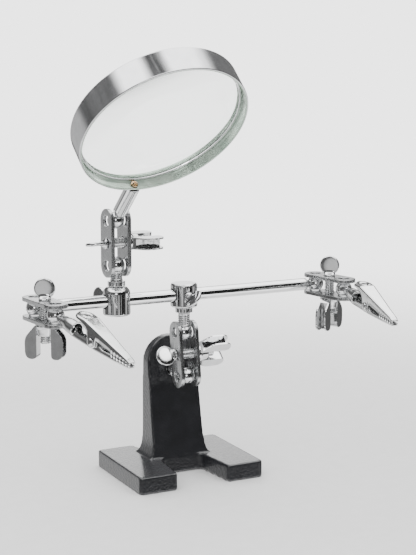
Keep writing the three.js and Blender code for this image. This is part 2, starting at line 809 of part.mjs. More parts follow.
// The magnifier's coupler, upper clamp and head.
const upper = group(helpingHands, magnifierCoupler.x, rod.y, rod.z);
const upperBody = couplerBody(magnifierCoupler.half, 1, pose.magnifierScrewTurn);
piece(upper, 'magnifier_coupler', upperBody, 'chrome');
addThumbScrew(upper, 'magnifier_thumb_screw', pose.magnifierScrewTurn, pose.thumbRoll.magnifier);

const upperTurn = group(upper, 0, 0, magnifierCoupler.upperBall);
upperTurn.rotation.z = radians(pose.magnifierTurn);
const { upperBall, half: upperHalf } = magnifierCoupler;
const upperStud = couplerStud(upperBall, upperHalf).rotateX(Math.PI);
piece(upperTurn, 'magnifier_ball_stud', upperStud, 'chrome');
addClamp(
  upperTurn,
  {
    first: 'upper_clamp_left_plate',
    second: 'upper_clamp_right_plate',
    bolt: 'upper_clamp_bolt',
    nut: 'upper_wing_nut',
  },
  pose.paddle.upper,
  pose.nut.upper,
);

const magnifier = group(upperTurn, 0, 0, clamp.pitch);
magnifier.rotation.x = radians(pose.magnifierTilt);
piece(magnifier, 'magnifier_ball', alongZ(screwedBall(head.stemStart)), 'chrome');
piece(magnifier, 'magnifier_stem', magnifierStem(), 'chrome');
piece(magnifier, 'magnifier_rim', magnifierRim(), 'polishedSteel');
piece(magnifier, 'magnifier_lens', lens(), 'glass');
piece(magnifier, 'lens_retaining_ring', retainingRing(), 'chrome');
piece(magnifier, 'rim_screw', rimScrew(), 'brass');

export default helpingHands;
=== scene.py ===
"""Looks for the helping hands clamp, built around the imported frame.

Every piece is modelled in millimetres in the frame of the sub-assembly that it belongs to (a clamp,
a coupler, a clip or the magnifier head). Those frames come from the joints, so nothing is fitted.
"""

import json
import math

import bmesh
import bpy
from mathutils import Matrix, Vector


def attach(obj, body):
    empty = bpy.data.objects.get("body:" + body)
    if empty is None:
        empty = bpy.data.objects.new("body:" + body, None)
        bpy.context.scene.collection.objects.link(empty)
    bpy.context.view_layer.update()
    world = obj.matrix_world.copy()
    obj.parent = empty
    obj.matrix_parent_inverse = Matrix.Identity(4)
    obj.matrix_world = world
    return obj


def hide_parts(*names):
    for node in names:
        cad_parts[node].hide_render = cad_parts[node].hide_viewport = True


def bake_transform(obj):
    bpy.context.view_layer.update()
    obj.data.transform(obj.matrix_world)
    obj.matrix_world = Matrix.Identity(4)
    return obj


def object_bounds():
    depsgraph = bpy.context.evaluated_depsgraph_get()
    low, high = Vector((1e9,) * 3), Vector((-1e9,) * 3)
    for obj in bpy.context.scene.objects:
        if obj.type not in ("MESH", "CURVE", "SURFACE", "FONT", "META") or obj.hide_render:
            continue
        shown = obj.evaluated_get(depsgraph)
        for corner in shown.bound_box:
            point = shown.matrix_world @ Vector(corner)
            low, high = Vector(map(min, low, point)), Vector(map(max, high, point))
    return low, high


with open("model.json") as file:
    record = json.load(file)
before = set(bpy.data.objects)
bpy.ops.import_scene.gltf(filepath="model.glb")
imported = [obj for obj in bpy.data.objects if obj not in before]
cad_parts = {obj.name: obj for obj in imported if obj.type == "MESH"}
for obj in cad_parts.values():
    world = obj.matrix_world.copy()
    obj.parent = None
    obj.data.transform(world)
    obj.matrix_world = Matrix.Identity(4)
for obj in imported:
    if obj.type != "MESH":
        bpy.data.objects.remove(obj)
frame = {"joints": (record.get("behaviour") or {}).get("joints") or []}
cad_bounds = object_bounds()

MM = 0.001
GAP = 0.3
ROUND = 72  # segments round a turned piece

# Driving dimensions in millimetres, the same as the CAD model's.
BALL = 4.0
NECK = 1.9
PITCH = 21.0  # between the two balls of a clamp
PLATE = {"radius": 5.6, "thickness": 1.8, "inner": 3.4, "seat": 2.7, "hole": 2.8}
OUTER = PLATE["inner"] + PLATE["thickness"]
BOLT = {"radius": 2.4, "end": 14.5, "pitch": 0.8, "depth": 0.42}
PADDLE = {"radius": 4.8, "thickness": 1.7, "centre": 10.4}
NUT = {
    "hub": 4.5,
    "top": 3.5,
    "length": 5.5,
    "reach": 9.0,
    "height": 16.0,
    "thickness": 5.6,
    "sheet": 0.8,
    "web": 3.4,
    "bore": 2.7,
}
ROD_RADIUS = 3.0
ROD_END = 5.8  # from the ball's centre to the end of the rod
TAP = {"radius": 1.5, "depth": 6.0}
COUPLER = {"radius": 6.5, "bore": 3.3, "screw": 2.0, "neck": 2.9, "stud_bore": 2.8}
COUPLER_HALF = {"centre": 5.8, "magnifier": 6.8}
COUPLER_DOME = {"centre": 0.8, "magnifier": 2.0}  # how far the top edge is rounded over
SHANK = 3.0
CLIP = {
    "barrel_start": 8.0,
    "barrel_end": 17.0,
    "barrel": 3.5,
    "bore": 2.7,
    "wall": 0.7,
    "pivot_x": 32.0,
    "pivot_z": 0.6,
    "ear": 2.7,
    "pad_x": 22.0,
    "pad_z": 8.8,
    "pad": 4.4,
    "tip": 57.0,
    "tip_half": 1.7,
    "teeth_end": 45.0,
    "gap_x": 39.0,
    "lower_half": 2.3,
    "stud_end": 12.5,
    "tooth": 2.0,
}
RIVET = {"pin": 1.2, "head": 2.0, "hole": 1.35}
SPRING = {
    "wire": 0.35,
    "coil": 1.75,
    "turns": 2.5,
    "half_width": 1.0,
    "pad_leg": 7.2,  # height of the leg's end under the pad
    "floor_leg": -1.9,  # height of the leg's end on the lower jaw's floor
}
HEAD = {
    "stem": 3.3,
    "stem_start": 5.8,
    "centre": 62.9,
    "rim": 38.8,
    "wall": 1.2,
    "front": -2.4,
    "back": 10.1,
    "lip": 6.2,
    "lip_depth": 1.2,
    "lip_inner": 36.0,
    "lens_edge": 3.0,
    "lens_bulge": 2.4,
}

# How each screw and nut is turned about its own axis, in degrees.
PADDLE_TURN = {"lower": -20, "left": 124, "right": 138, "upper": 80}
NUT_TURN = {"lower": 50, "left": -45, "right": 70, "upper": 95}
THUMB_ROLL = {"centre": 41, "magnifier": 0}


# ---------------------------------------------------------------- frames from the joints

joints = {joint["name"]: joint for joint in frame["joints"]}


def place(joint):
    return Vector(joints[joint]["pos_m"])


def axis(joint):
    return Vector(joints[joint]["axis"]).normalized()


def frame_at(origin, x, z):
    """A frame at origin with its X along x, and its Z as near to z as a right angle allows."""
    x = x.normalized()
    z = (z - x * z.dot(x)).normalized()
    made = Matrix((x, z.cross(x), z)).transposed().to_4x4()
    made.translation = origin
    return made


def turned_about_x(matrix, degrees):
    return matrix @ Matrix.Rotation(math.radians(degrees), 4, "X")


def shifted(matrix, x=0.0, y=0.0, z=0.0):
    return matrix @ Matrix.Translation(Vector((x, y, z)) * MM)


UP = Vector((0, 0, 1))
ALONG_X = Vector((1, 0, 0))
TO_Y = Matrix.Rotation(math.radians(90), 4, "Z")  # turns a piece made along X to lie along Y
TO_Z = Matrix.Rotation(math.radians(-90), 4, "Y")  # turns a piece made along X to stand along Z
UPRIGHT = Matrix.Rotation(math.radians(90), 4, "X")  # stands an outline in X and Y up in X and Z
PIVOT_AXIS = Matrix.Translation((CLIP["pivot_x"], 0, CLIP["pivot_z"])) @ TO_Y
LENS_AXIS = Matrix.Translation((0, 0, HEAD["centre"])) @ TO_Y

CLAMPS = {
    "lower": frame_at(
        place("foot_stud_twist"),
        axis("lower_nut_spin"),
        place("rod_pitch") - place("foot_stud_twist"),
    ),
    "upper": frame_at(
        place("magnifier_turn"),
        axis("upper_nut_spin"),
        place("magnifier_tilt") - place("magnifier_turn"),
    ),
}
for side in ("left", "right"):
    CLAMPS[side] = frame_at(
        place(f"{side}_clamp_roll"),
        axis(f"{side}_nut_spin"),
        place(f"{side}_clip_swing") - place(f"{side}_clamp_roll"),
    )
CLIPS = {
    side: frame_at(
        place(f"{side}_clip_swing"),
        axis(f"{side}_clip_twist"),
        axis(f"{side}_clip_open").cross(axis(f"{side}_clip_twist")),
    )
    for side in ("left", "right")
}
MAGNIFIER = frame_at(place("magnifier_tilt"), axis("upper_nut_spin"), axis("magnifier_roll"))


# ---------------------------------------------------------------- mesh helpers


def mesh_from(bm):
    bmesh.ops.recalc_face_normals(bm, faces=bm.faces)
    mesh = bpy.data.meshes.new("part")
    bm.to_mesh(mesh)
    bm.free()
    return mesh


def linked(name, data):
    """A new object in the scene that holds the data."""
    made = bpy.data.objects.new(name, data)
    bpy.context.scene.collection.objects.link(made)
    return made


def evaluated(holder):
    """The object's mesh after its modifiers. The object itself is removed."""
    bpy.context.view_layer.update()
    made = holder.evaluated_get(bpy.context.evaluated_depsgraph_get())
    mesh = bpy.data.meshes.new_from_object(made)
    bpy.data.objects.remove(holder)
    return mesh


def smooth(mesh):
    for polygon in mesh.polygons:
        polygon.use_smooth = True


def bridge(bm, low, high):
    """Faces between two rings of corners. A ring of one corner is a point on the axis."""
    sides = max(len(low), len(high))
    for k in range(sides):
        n = (k + 1) % sides
        corners = [low[k % len(low)], low[n % len(low)], high[n % len(high)], high[k % len(high)]]
        unique = list(dict.fromkeys(corners))
        if len(unique) > 2:
            bm.faces.new(unique)


def quadratic(start, control, end, t):
    """The point at t on a quadratic curve. The three may be vectors or plain numbers."""
    return start * (1 - t) ** 2 + control * 2 * t * (1 - t) + end * t * t


def rounded(points, steps=4):
    """Profile corners as (x, radius, fillet), where the fillet may be left out, as a fine polyline."""
    corners = [(Vector(p[:2]), p[2] if len(p) > 2 else 0.0) for p in points]
    fine = []
    for i, (corner, fillet) in enumerate(corners):
        if fillet <= 0 or i in (0, len(corners) - 1):
            fine.append(corner)
            continue
        before = corners[i - 1][0] - corner
        after = corners[i + 1][0] - corner
        a = corner + before.normalized() * min(fillet, before.length * 0.49)
        b = corner + after.normalized() * min(fillet, after.length * 0.49)
        fine += [quadratic(a, corner, b, k / steps) for k in range(steps + 1)]
    return [(p.x, p.y) for p in fine]


def lathe(points, sides=ROUND, closed=False, shape=None):
    """A body of revolution about X. shape(x, radius, angle) may change the radius."""
    bm = bmesh.new()
    rings = []
    for x, radius in points:
        if radius < 1e-4:
            rings.append([bm.verts.new((x, 0, 0))])
            continue
        ring = []
        for k in range(sides):
            angle = 2 * math.pi * k / sides
            r = shape(x, radius, angle) if shape else radius
            ring.append(bm.verts.new((x, r * math.cos(angle), r * math.sin(angle))))
        rings.append(ring)
    pairs = list(zip(rings, rings[1:]))
    if closed:
        pairs.append((rings[-1], rings[0]))
    for low, high in pairs:
        bridge(bm, low, high)
    return mesh_from(bm)


def cylinder(start, end, radius, sides=ROUND):
    """A plain cylinder along X, used to cut with."""
    return lathe([(start, 0), (start, radius), (end, radius), (end, 0)], sides)


def circle_points(x, y, radius, steps=48, start=0.0, end=2 * math.pi):
    full = abs(end - start) > 2 * math.pi - 1e-6
    count = steps if full else steps + 1
    angles = [start + (end - start) * k / steps for k in range(count)]
    return [(x + radius * math.cos(a), y + radius * math.sin(a)) for a in angles]


def slab(outer, holes, depth, edge):
    """An outline in X and Y with round-edged holes, extruded evenly either side of Z = 0."""
    curve = bpy.data.curves.new("outline", "CURVE")
    curve.dimensions = "2D"
    curve.fill_mode = "BOTH"
    curve.extrude = depth / 2 - edge
    curve.bevel_depth = edge
    curve.bevel_resolution = 2
    curve.offset = -edge
    for loop in [outer] + [list(reversed(hole)) for hole in holes]:
        spline = curve.splines.new("POLY")
        spline.points.add(len(loop) - 1)
        for point, (x, y) in zip(spline.points, loop):
            point.co = (x, y, 0, 1)
        spline.use_cyclic_u = True
    bm = bmesh.new()
    bm.from_mesh(evaluated(linked("outline", curve)))
    bmesh.ops.remove_doubles(bm, verts=bm.verts, dist=1e-3)
    return mesh_from(bm)


def modified(mesh, *settings):
    """The mesh after modifiers, each given as (type, {property: value})."""
    holder = linked("work", mesh)
    for kind, values in settings:
        modifier = holder.modifiers.new(kind, kind)
        for name, value in values.items():
            setattr(modifier, name, value)
    return evaluated(holder)


def combined(mesh, tools, operation="UNION"):
    """The mesh joined with, or cut by, each of the tool meshes."""
    for tool in tools:
        other = linked("tool", tool)
        settings = {"object": other, "operation": operation, "solver": "EXACT"}
        mesh = modified(mesh, ("BOOLEAN", settings))
        bpy.data.objects.remove(other)
    return mesh


def cast(mesh, voxel, smoothing):
    """The mesh as a casting: remeshed evenly, with its edges and inner corners softened."""
    return modified(
        mesh,
        ("REMESH", {"mode": "VOXEL", "voxel_size": voxel}),
        ("SMOOTH", {"factor": 0.5, "iterations": smoothing}),
    )


def moved(mesh, matrix):
    mesh.transform(matrix)
    return mesh


def joined(*meshes):
    bm = bmesh.new()
    for mesh in meshes:
        bm.from_mesh(mesh)
    mesh = bpy.data.meshes.new("part")
    bm.to_mesh(mesh)
    bm.free()
    return mesh


def add(name, mesh, matrix, body, nodes, slot, material, sharp=32):
    """Puts a mesh made in millimetres into the scene as a finished piece of the object."""
    mesh = mesh.copy()
    mesh.transform(Matrix.Scale(MM, 4))
    smooth(mesh)
    mesh.set_sharp_from_angle(angle=math.radians(sharp))
    mesh = modified(mesh, ("WEIGHTED_NORMAL", {"keep_sharp": True, "weight": 90}))
    mesh.name = name
    mesh.materials.clear()
    mesh.materials.append(material)
    made = linked(name, mesh)
    made.matrix_world = matrix
    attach(made, body)
    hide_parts(*nodes)


# ---------------------------------------------------------------- materials


def shader(name, **sockets):
    """A material with one Principled shader. Uniform values go straight onto its sockets."""
    material = bpy.data.materials.new(name)
    material.use_nodes = True
    nodes = material.node_tree.nodes
    principled = nodes["Principled BSDF"]
    for socket, value in sockets.items():
        principled.inputs[socket.replace("_", " ")].default_value = value
    return material, nodes, material.node_tree.links, principled


def coordinates(nodes, links, stretch=(1, 1, 1)):
    """Object coordinates, stretched along each axis."""
    source = nodes.new("ShaderNodeTexCoord")
    mapping = nodes.new("ShaderNodeMapping")
    mapping.inputs["Scale"].default_value = stretch
    links.new(source.outputs["Object"], mapping.inputs["Vector"])
    return mapping.outputs["Vector"]


def noise(nodes, links, vector, scale, detail=4.0, roughness=0.5):
    texture = nodes.new("ShaderNodeTexNoise")
    texture.inputs["Scale"].default_value = scale
    texture.inputs["Detail"].default_value = detail
    texture.inputs["Roughness"].default_value = roughness
    links.new(vector, texture.inputs["Vector"])
    return texture.outputs["Fac"]


def ramp(nodes, links, value, *stops):
    """Maps a value through (position, colour or grey level) stops."""
    made = nodes.new("ShaderNodeValToRGB")
    elements = made.color_ramp.elements
    while len(elements) < len(stops):
        elements.new(0.5)
    for element, (position, colour) in zip(elements, stops):
        element.position = position
        element.color = (colour,) * 3 + (1,) if isinstance(colour, (int, float)) else (*colour, 1)
    links.new(value, made.inputs["Fac"])
    return made.outputs["Color"]


def bump(nodes, links, height, target, distance, strength=1.0):
    """Bends the normal that reaches the target socket."""
    made = nodes.new("ShaderNodeBump")
    made.inputs["Distance"].default_value = distance
    made.inputs["Strength"].default_value = strength
    links.new(height, made.inputs["Height"])
    links.new(made.outputs["Normal"], target)
    return made


def map_range(nodes, links, value, source=(0, 1), target=(0, 1), interpolation="LINEAR"):
    """Maps a value from one range of numbers to another."""
    made = nodes.new("ShaderNodeMapRange")
    made.interpolation_type = interpolation
    for label, (low, high) in (("From", source), ("To", target)):
        made.inputs[f"{label} Min"].default_value = low
        made.inputs[f"{label} Max"].default_value = high
    links.new(value, made.inputs["Value"])
    return made.outputs["Result"]


def vector_length(nodes, links, vector):
    made = nodes.new("ShaderNodeVectorMath")
    made.operation = "LENGTH"
    links.new(vector, made.inputs[0])
    return made.outputs["Value"]


def plated(name, tint, rough, streaks=(1, 1, 1), streak_scale=900, lines=0.0000012, waves=0.0):
    """Polished or plated metal: faint clouding, uneven gloss and fine polishing lines.
    Sheet that was pressed to shape also has shallow waves of a given height."""
    material, nodes, links, principled = shader(name, Metallic=1.0)
    plain = coordinates(nodes, links)
    stretched = coordinates(nodes, links, streaks)
    cloud = noise(nodes, links, plain, 260, 3)
    darker = tuple(c * 0.9 for c in tint)
    links.new(
        ramp(nodes, links, cloud, (0.3, darker), (0.7, tint)), principled.inputs["Base Color"]
    )
    polish = noise(nodes, links, stretched, streak_scale, 5, 0.6)
    links.new(
        ramp(nodes, links, polish, (0.3, rough * 0.6), (0.75, rough * 1.7)),
        principled.inputs["Roughness"],
    )
    fine = bump(nodes, links, polish, principled.inputs["Normal"], lines)
    if waves:
        swell = noise(nodes, links, plain, 230, 1)
        bump(nodes, links, swell, fine.inputs["Normal"], waves)
    return material


def cast_iron():
    """Gloss black paint over a pebbly casting. The paint levels out part of the grain."""
    material, nodes, links, principled = shader(
        "black_cast_iron",
        Specular_IOR_Level=0.4,
        Coat_Weight=1.0,
        Coat_Roughness=0.13,
        Coat_IOR=1.45,
    )
    vector = coordinates(nodes, links)
    pebble = nodes.new("ShaderNodeTexVoronoi")
    pebble.feature = "SMOOTH_F1"
    pebble.inputs["Scale"].default_value = 950
    pebble.inputs["Smoothness"].default_value = 0.9
    links.new(vector, pebble.inputs["Vector"])
    grain = noise(nodes, links, vector, 1300, 5, 0.6)
    cloud = noise(nodes, links, vector, 90, 3)
    links.new(
        ramp(nodes, links, cloud, (0.3, (0.003, 0.0032, 0.0044)), (0.75, (0.007, 0.0074, 0.0095))),
        principled.inputs["Base Color"],
    )
    links.new(ramp(nodes, links, grain, (0.3, 0.3), (0.75, 0.55)), principled.inputs["Roughness"])
    mix = nodes.new("ShaderNodeMath")
    mix.operation = "MULTIPLY_ADD"
    mix.inputs[1].default_value = 0.6
    links.new(grain, mix.inputs[0])
    links.new(pebble.outputs["Distance"], mix.inputs[2])
    height = mix.outputs["Value"]
    bump(nodes, links, height, principled.inputs["Normal"], 0.0004, 0.45)
    bump(nodes, links, height, principled.inputs["Coat Normal"], 0.0003, 0.12)
    return material


def rim_steel():
    """Polished steel outside. The inside wall carries a painted reflection: the pale green of the lens,
    painted into its colour.
    """
    material = plated(
        "rim_steel", (0.74, 0.745, 0.755), 0.13, streaks=(1, 0.1, 1), streak_scale=400, lines=0.0000004
    )
    nodes, links = material.node_tree.nodes, material.node_tree.links
    principled = nodes["Principled BSDF"]
    source = nodes.new("ShaderNodeTexCoord")
    offset = nodes.new("ShaderNodeMapping")
    offset.inputs["Location"].default_value = (0, 0, -HEAD["centre"] * MM)
    offset.inputs["Scale"].default_value = (1, 0, 1)
    links.new(source.outputs["Object"], offset.inputs["Vector"])
    length = vector_length(nodes, links, offset.outputs["Vector"])
    middle = HEAD["rim"] - HEAD["wall"] / 2
    inside = map_range(nodes, links, length, ((middle + 0.1) * MM, (middle - 0.1) * MM))
    plain = principled.inputs["Base Color"].links[0].from_socket
    cloud = noise(nodes, links, source.outputs["Object"], 90, 3)
    # painted reflection: the lens's pale green, with a cloudy tone, painted as the colour of the inside
    # wall (the inside mask)
    painted_green_reflection = ramp(nodes, links, cloud, (0.3, (0.26, 0.34, 0.28)), (0.7, (0.5, 0.58, 0.5)))
    mix = nodes.new("ShaderNodeMixRGB")
    links.new(inside, mix.inputs["Fac"])
    links.new(plain, mix.inputs["Color1"])
    links.new(painted_green_reflection, mix.inputs["Color2"])
    links.new(mix.outputs["Color"], principled.inputs["Base Color"])
    # the inside wall is made less metallic so that the painted green reflection shows
    metal = map_range(nodes, links, inside, target=(1.0, 0.6))
    links.new(metal, principled.inputs["Metallic"])
    return material


def lens_glass():
    material, nodes, links, principled = shader(
        "lens_glass", Transmission_Weight=1.0, IOR=1.5, Base_Color=(0.965, 0.985, 0.975, 1)
    )
    vector = coordinates(nodes, links)
    smear = noise(nodes, links, vector, 60, 3)
    links.new(ramp(nodes, links, smear, (0.4, 0.0), (0.8, 0.02)), principled.inputs["Roughness"])
    return material


CHROME = plated("chrome", (0.86, 0.865, 0.87), 0.07)
ROD_CHROME = plated("rod_chrome", (0.87, 0.875, 0.88), 0.06, streaks=(0.05, 1, 1))
NICKEL = plated("nickel_plate", (0.5, 0.505, 0.51), 0.24, streaks=(1, 1, 0.08), lines=0.000008)
CLIP_NICKEL = plated("clip_nickel", (0.83, 0.835, 0.835), 0.1, streaks=(0.1, 1, 1), waves=0.00004)
PRESSED = plated("pressed_chrome", (0.82, 0.825, 0.83), 0.09, waves=0.00015)
BAND_STEEL = rim_steel()
BRASS = plated("brass", (0.62, 0.44, 0.26), 0.2)
WIRE_STEEL = plated("spring_steel", (0.45, 0.455, 0.46), 0.25)
IRON = cast_iron()
GLASS = lens_glass()
CHROMED = ("chrome", CHROME)  # slot and material of most pieces


# ---------------------------------------------------------------- foot and column

FOOT = {
    "width": 65.0,
    "depth": 53.0,
    "height": 8.2,
    "corner": 2.0,
    "notch": 11.0,
    "flare": 2.4,
    "notch_corner": 3.0,
    "front_wall": -1.8,
    "rear_wall": 16.7,
    "stud_bore": 3.3,
}
COLUMN = {"half": 13.1, "top": 67.0, "flare": 16.5, "flare_top": 20.0, "front_top": 8.7, "back": 13.9}
FOOT_STUD = {"neck_end": 10.5, "collar_end": 12.2, "collar": 3.6, "end": 24.3}
CASTING_VOXEL = 0.55
CASTING_SMOOTHING = 3  # passes


def bent(points):
    """A closed outline of (x, y) corners, where (x, y, radius) is a round one."""
    fine = []
    count = len(points)
    for i, point in enumerate(points):
        corner = Vector(point[:2])
        radius = point[2] if len(point) > 2 else 0
        if not radius:
            fine.append(corner)
            continue
        before = Vector(points[i - 1][:2]) - corner
        after = Vector(points[(i + 1) % count][:2]) - corner
        a = corner + before.normalized() * radius
        b = corner + after.normalized() * radius
        fine += [quadratic(a, corner, b, k / 6) for k in range(7)]
    return [tuple(p) for p in fine]


def foot_outline():
    x = FOOT["width"] / 2
    y = FOOT["depth"] / 2
    mouth = FOOT["notch"] + FOOT["flare"]
    notch, corner, inner = FOOT["notch"], FOOT["corner"], FOOT["notch_corner"]
    front, rear = FOOT["front_wall"], FOOT["rear_wall"]
    return bent(
        [
            (-x, -y, corner),
            (-mouth, -y, 1),
            (-notch, front, inner),
            (notch, front, inner),
            (mouth, -y, 1),
            (x, -y, corner),
            (x, y, corner),
            (mouth, y, 1),
            (notch, rear, inner),
            (-notch, rear, inner),
            (-mouth, y, 1),
            (-x, y, corner),
        ]
    )


def curve_points(start, control, end, steps=14):
    """A quadratic curve as points, leaving out its start."""
    shares = [k / steps for k in range(1, steps + 1)]
    return [tuple(quadratic(start[i], control[i], end[i], t) for i in (0, 1)) for t in shares]


def column_front():
    half, top, flare, flare_top = (COLUMN[k] for k in ("half", "top", "flare", "flare_top"))
    height = FOOT["height"]
    right = [(flare, 0.5), (flare, height)]
    right += curve_points((flare, height), (half + 0.6, height + 1), (half + 0.5, flare_top))
    arch = circle_points(0, top - half, half, 40, 0, math.pi)
    left = [(-x, y) for x, y in reversed(right)]
    return right + arch + left


def column_side():
    top, back, front_top, flare_top = (COLUMN[k] for k in ("top", "back", "front_top", "flare_top"))
    front, rear, height = FOOT["front_wall"], FOOT["rear_wall"], FOOT["height"]
    points = [(front, 0.5), (rear, 0.5), (rear, height)]
    points += curve_points((rear, height), (back, height + 1), (back, flare_top))
    points += [(back, top), (front_top, top)]
    points += curve_points((front_top, top), (4.2, 32), (front, height - 1))
    return points


def prism(outline, depth, matrix):
    """A plain extrusion either side of its plane."""
    bm = bmesh.new()
    low = [bm.verts.new((x, y, -depth)) for x, y in outline]
    high = [bm.verts.new((x, y, depth)) for x, y in outline]
    bm.faces.new(list(reversed(low)))
    bm.faces.new(high)
    bridge(bm, low, high)
    return moved(mesh_from(bm), matrix)


def build_foot():
    height = FOOT["height"]
    foot = prism(foot_outline(), height / 2, Matrix.Translation((0, 0, height / 2)))
    side = prism(column_side(), 60, TO_Y @ UPRIGHT)
    column = combined(prism(column_front(), 60, UPRIGHT), [side], "INTERSECT")
    rough = combined(foot, [column])
    soft = cast(rough, CASTING_VOXEL, CASTING_SMOOTHING)
    bore = place("foot_stud_twist") / MM
    tool = cylinder(-60, 60, FOOT["stud_bore"])
    tool = moved(tool, Matrix.Translation((bore.x, 0, bore.z)) @ TO_Y)
    below = prism([(-60, -60), (60, -60), (60, 60), (-60, 60)], 5, Matrix.Translation((0, 0, -5)))
    soft = combined(soft, [tool, below], "DIFFERENCE")
    rest = Matrix.Identity(4)
    add("foot_casting", soft, rest, "foot", ["base_casting"], "black_cast_iron", IRON, 40)


# ---------------------------------------------------------------- turned pieces


def ball_points(neck=NECK, steps=22):
    """The round part of a ball at the origin whose neck is on its +X side."""
    last = math.asin(neck / BALL)
    points = []
    for i in range(steps + 1):
        angle = math.pi + (last - math.pi) * i / steps
        points.append((BALL * math.cos(angle), max(0.0, BALL * math.sin(angle))))
    return [(-BALL, 0.0)] + points[1:]


def thread_shape(start, end, pitch, depth):
    """A radius function that cuts a round-crested thread between two stations."""

    def shape(x, radius, angle):
        if not start <= x <= end:
            return radius
        fade = min(1.0, (x - start) / pitch, (end - x) / pitch)
        wave = 0.5 - 0.5 * math.cos(2 * math.pi * (x / pitch - angle / (2 * math.pi)))
        return radius - depth * fade * wave

    return shape


def shaft_rows(start, end, radius, pitch):
    """Rows along a threaded stretch, close enough to carry the thread."""
    rows = max(2, int((end - start) / pitch * 10))
    return [(start + (end - start) * i / rows, radius) for i in range(rows + 1)]


def ball_stud(neck_end, collar_end, collar, shank_end, shank, neck=NECK, pitch=0.0):
    """A ball with a collar and a shank. The neck between them carries a fine thread of some pitch."""
    points = ball_points(neck)
    start = points[-1][0] + 0.4
    shape = None
    if pitch:
        shape = thread_shape(start, neck_end - 0.4, pitch, 0.4)
        points += shaft_rows(start, neck_end - 0.4, neck, pitch)
    tail = rounded(
        [
            (neck_end - 0.3, neck),
            (neck_end, neck, 0.1),
            (neck_end, collar, 0.25),
            (collar_end, collar, 0.25),
            (collar_end, shank),
            (shank_end, shank, 0.4),
            (shank_end, 0),
        ]
    )
    return lathe(points + tail, shape=shape)


def screwed_ball(shoulder):
    pin_end = shoulder + TAP["depth"] - 2 * GAP
    face = shoulder - GAP
    points = ball_points()
    points += [(face - 0.5, NECK), (face - 0.2, NECK + 0.25), (face, NECK + 0.25), (face, TAP["radius"])]
    points += shaft_rows(face + 0.2, pin_end - 0.3, TAP["radius"], 0.5)
    points += [(pin_end, TAP["radius"] - 0.3), (pin_end, 0)]
    return lathe(points, 48, shape=thread_shape(face + 0.2, pin_end - 0.3, 0.5, 0.25))


# ---------------------------------------------------------------- two-plate clamps


def clamp_plate():
    """A plate in X and Y, centred on the first ball, with round-edged holes as ball seats."""
    radius = PLATE["radius"]
    outer = circle_points(0, 0, radius, 40, math.pi, 2 * math.pi)
    outer += circle_points(0, PITCH, radius, 40, 0, math.pi)
    holes = [
        circle_points(0, 0, PLATE["seat"]),
        circle_points(0, PITCH, PLATE["seat"]),
        circle_points(0, PITCH / 2, PLATE["hole"]),
    ]
    return slab(outer, holes, PLATE["thickness"], 0.28)


def paddle_disc():
    """A flat round thumb paddle with softly rounded edges, standing in X and Z."""
    radius = PADDLE["radius"]
    half = PADDLE["thickness"] / 2
    points = rounded(
        [
            (-half, 0),
            (-half + 0.01, radius * 0.35, 0.8),
            (-half + 0.05, radius * 0.7, 0.8),
            (-half + 0.12, radius - 0.35, 0.2),
            (-half + 0.5, radius, 0.25),
            (half - 0.5, radius, 0.25),
            (half - 0.12, radius - 0.35, 0.2),
            (half - 0.05, radius * 0.7, 0.8),
            (half - 0.01, radius * 0.35, 0.8),
            (half, 0),
        ],
        5,
    )
    return moved(lathe(points), TO_Y)


def loft(sections, sides=56):
    """Rings along X, each (x, half thickness along Y, half width along Z, squareness)."""
    bm = bmesh.new()
    rings = []
    for x, half_y, half_z, square in sections:
        ring = []
        for k in range(sides):
            angle = 2 * math.pi * k / sides
            c, n = math.cos(angle), math.sin(angle)
            y = math.copysign(abs(c) ** (2 / square), c) * half_y
            z = math.copysign(abs(n) ** (2 / square), n) * half_z
            ring.append(bm.verts.new((x, y, z)))
        rings.append(ring)
    for low, high in zip(rings, rings[1:]):
        bridge(bm, low, high)
    bm.faces.new(list(reversed(rings[0])))
    bm.faces.new(rings[-1])
    return mesh_from(bm)


def paddle_screw(radius, end, neck_start, centre, pitch, depth):
    """A screw along X, flattened and pinched in below the thumb paddle on its -X side."""
    start = neck_start + 0.4
    points = [(neck_start - 0.6, 0), (neck_start - 0.6, radius)]
    points += shaft_rows(start, end - 0.4, radius, pitch)
    points += [(end, radius - 0.4), (end, 0)]
    shaft = lathe(points, 56, shape=thread_shape(start, end - 0.4, pitch, depth))
    half = PADDLE["thickness"] / 2
    collar = radius + 0.25
    top = centre + 1.3
    drop = neck_start - top
    neck = loft(
        [
            (top, half - 0.08, 3.95, 3.0),
            (top + drop * 0.3, half - 0.02, 3.7, 3.0),
            (top + drop * 0.52, half + 0.15, collar + 0.5, 2.8),
            (top + drop * 0.7, half + 0.55, collar + 0.2, 2.5),
            (top + drop * 0.86, collar - 0.2, collar + 0.06, 2.2),
            (top + drop * 0.95, collar, collar, 2.0),
            (neck_start, collar - 0.15, collar - 0.15, 2.0),
        ]
    )
    disc = moved(paddle_disc(), Matrix.Translation((centre, 0, 0)))
    return combined(disc, [neck, shaft])


def wing_outline():
    """One wing's side in X (along the bolt) and Y (outwards)."""
    reach, length, web = NUT["reach"], NUT["height"], NUT["web"]
    points = [(0.8, web), (0.8, NUT["hub"] - 0.3)]
    points += curve_points(points[-1], (3.4, reach * 0.72), (length * 0.32, reach * 0.88))
    points += curve_points(points[-1], (length * 0.42, reach), (length * 0.58, reach))
    points += [(length - 3.6, reach * 0.99)]
    points += curve_points(points[-1], (length, reach * 0.97), (length, reach - 3.2))
    points += curve_points(points[-1], (length, web + 0.1), (length - 1.8, web))
    return points


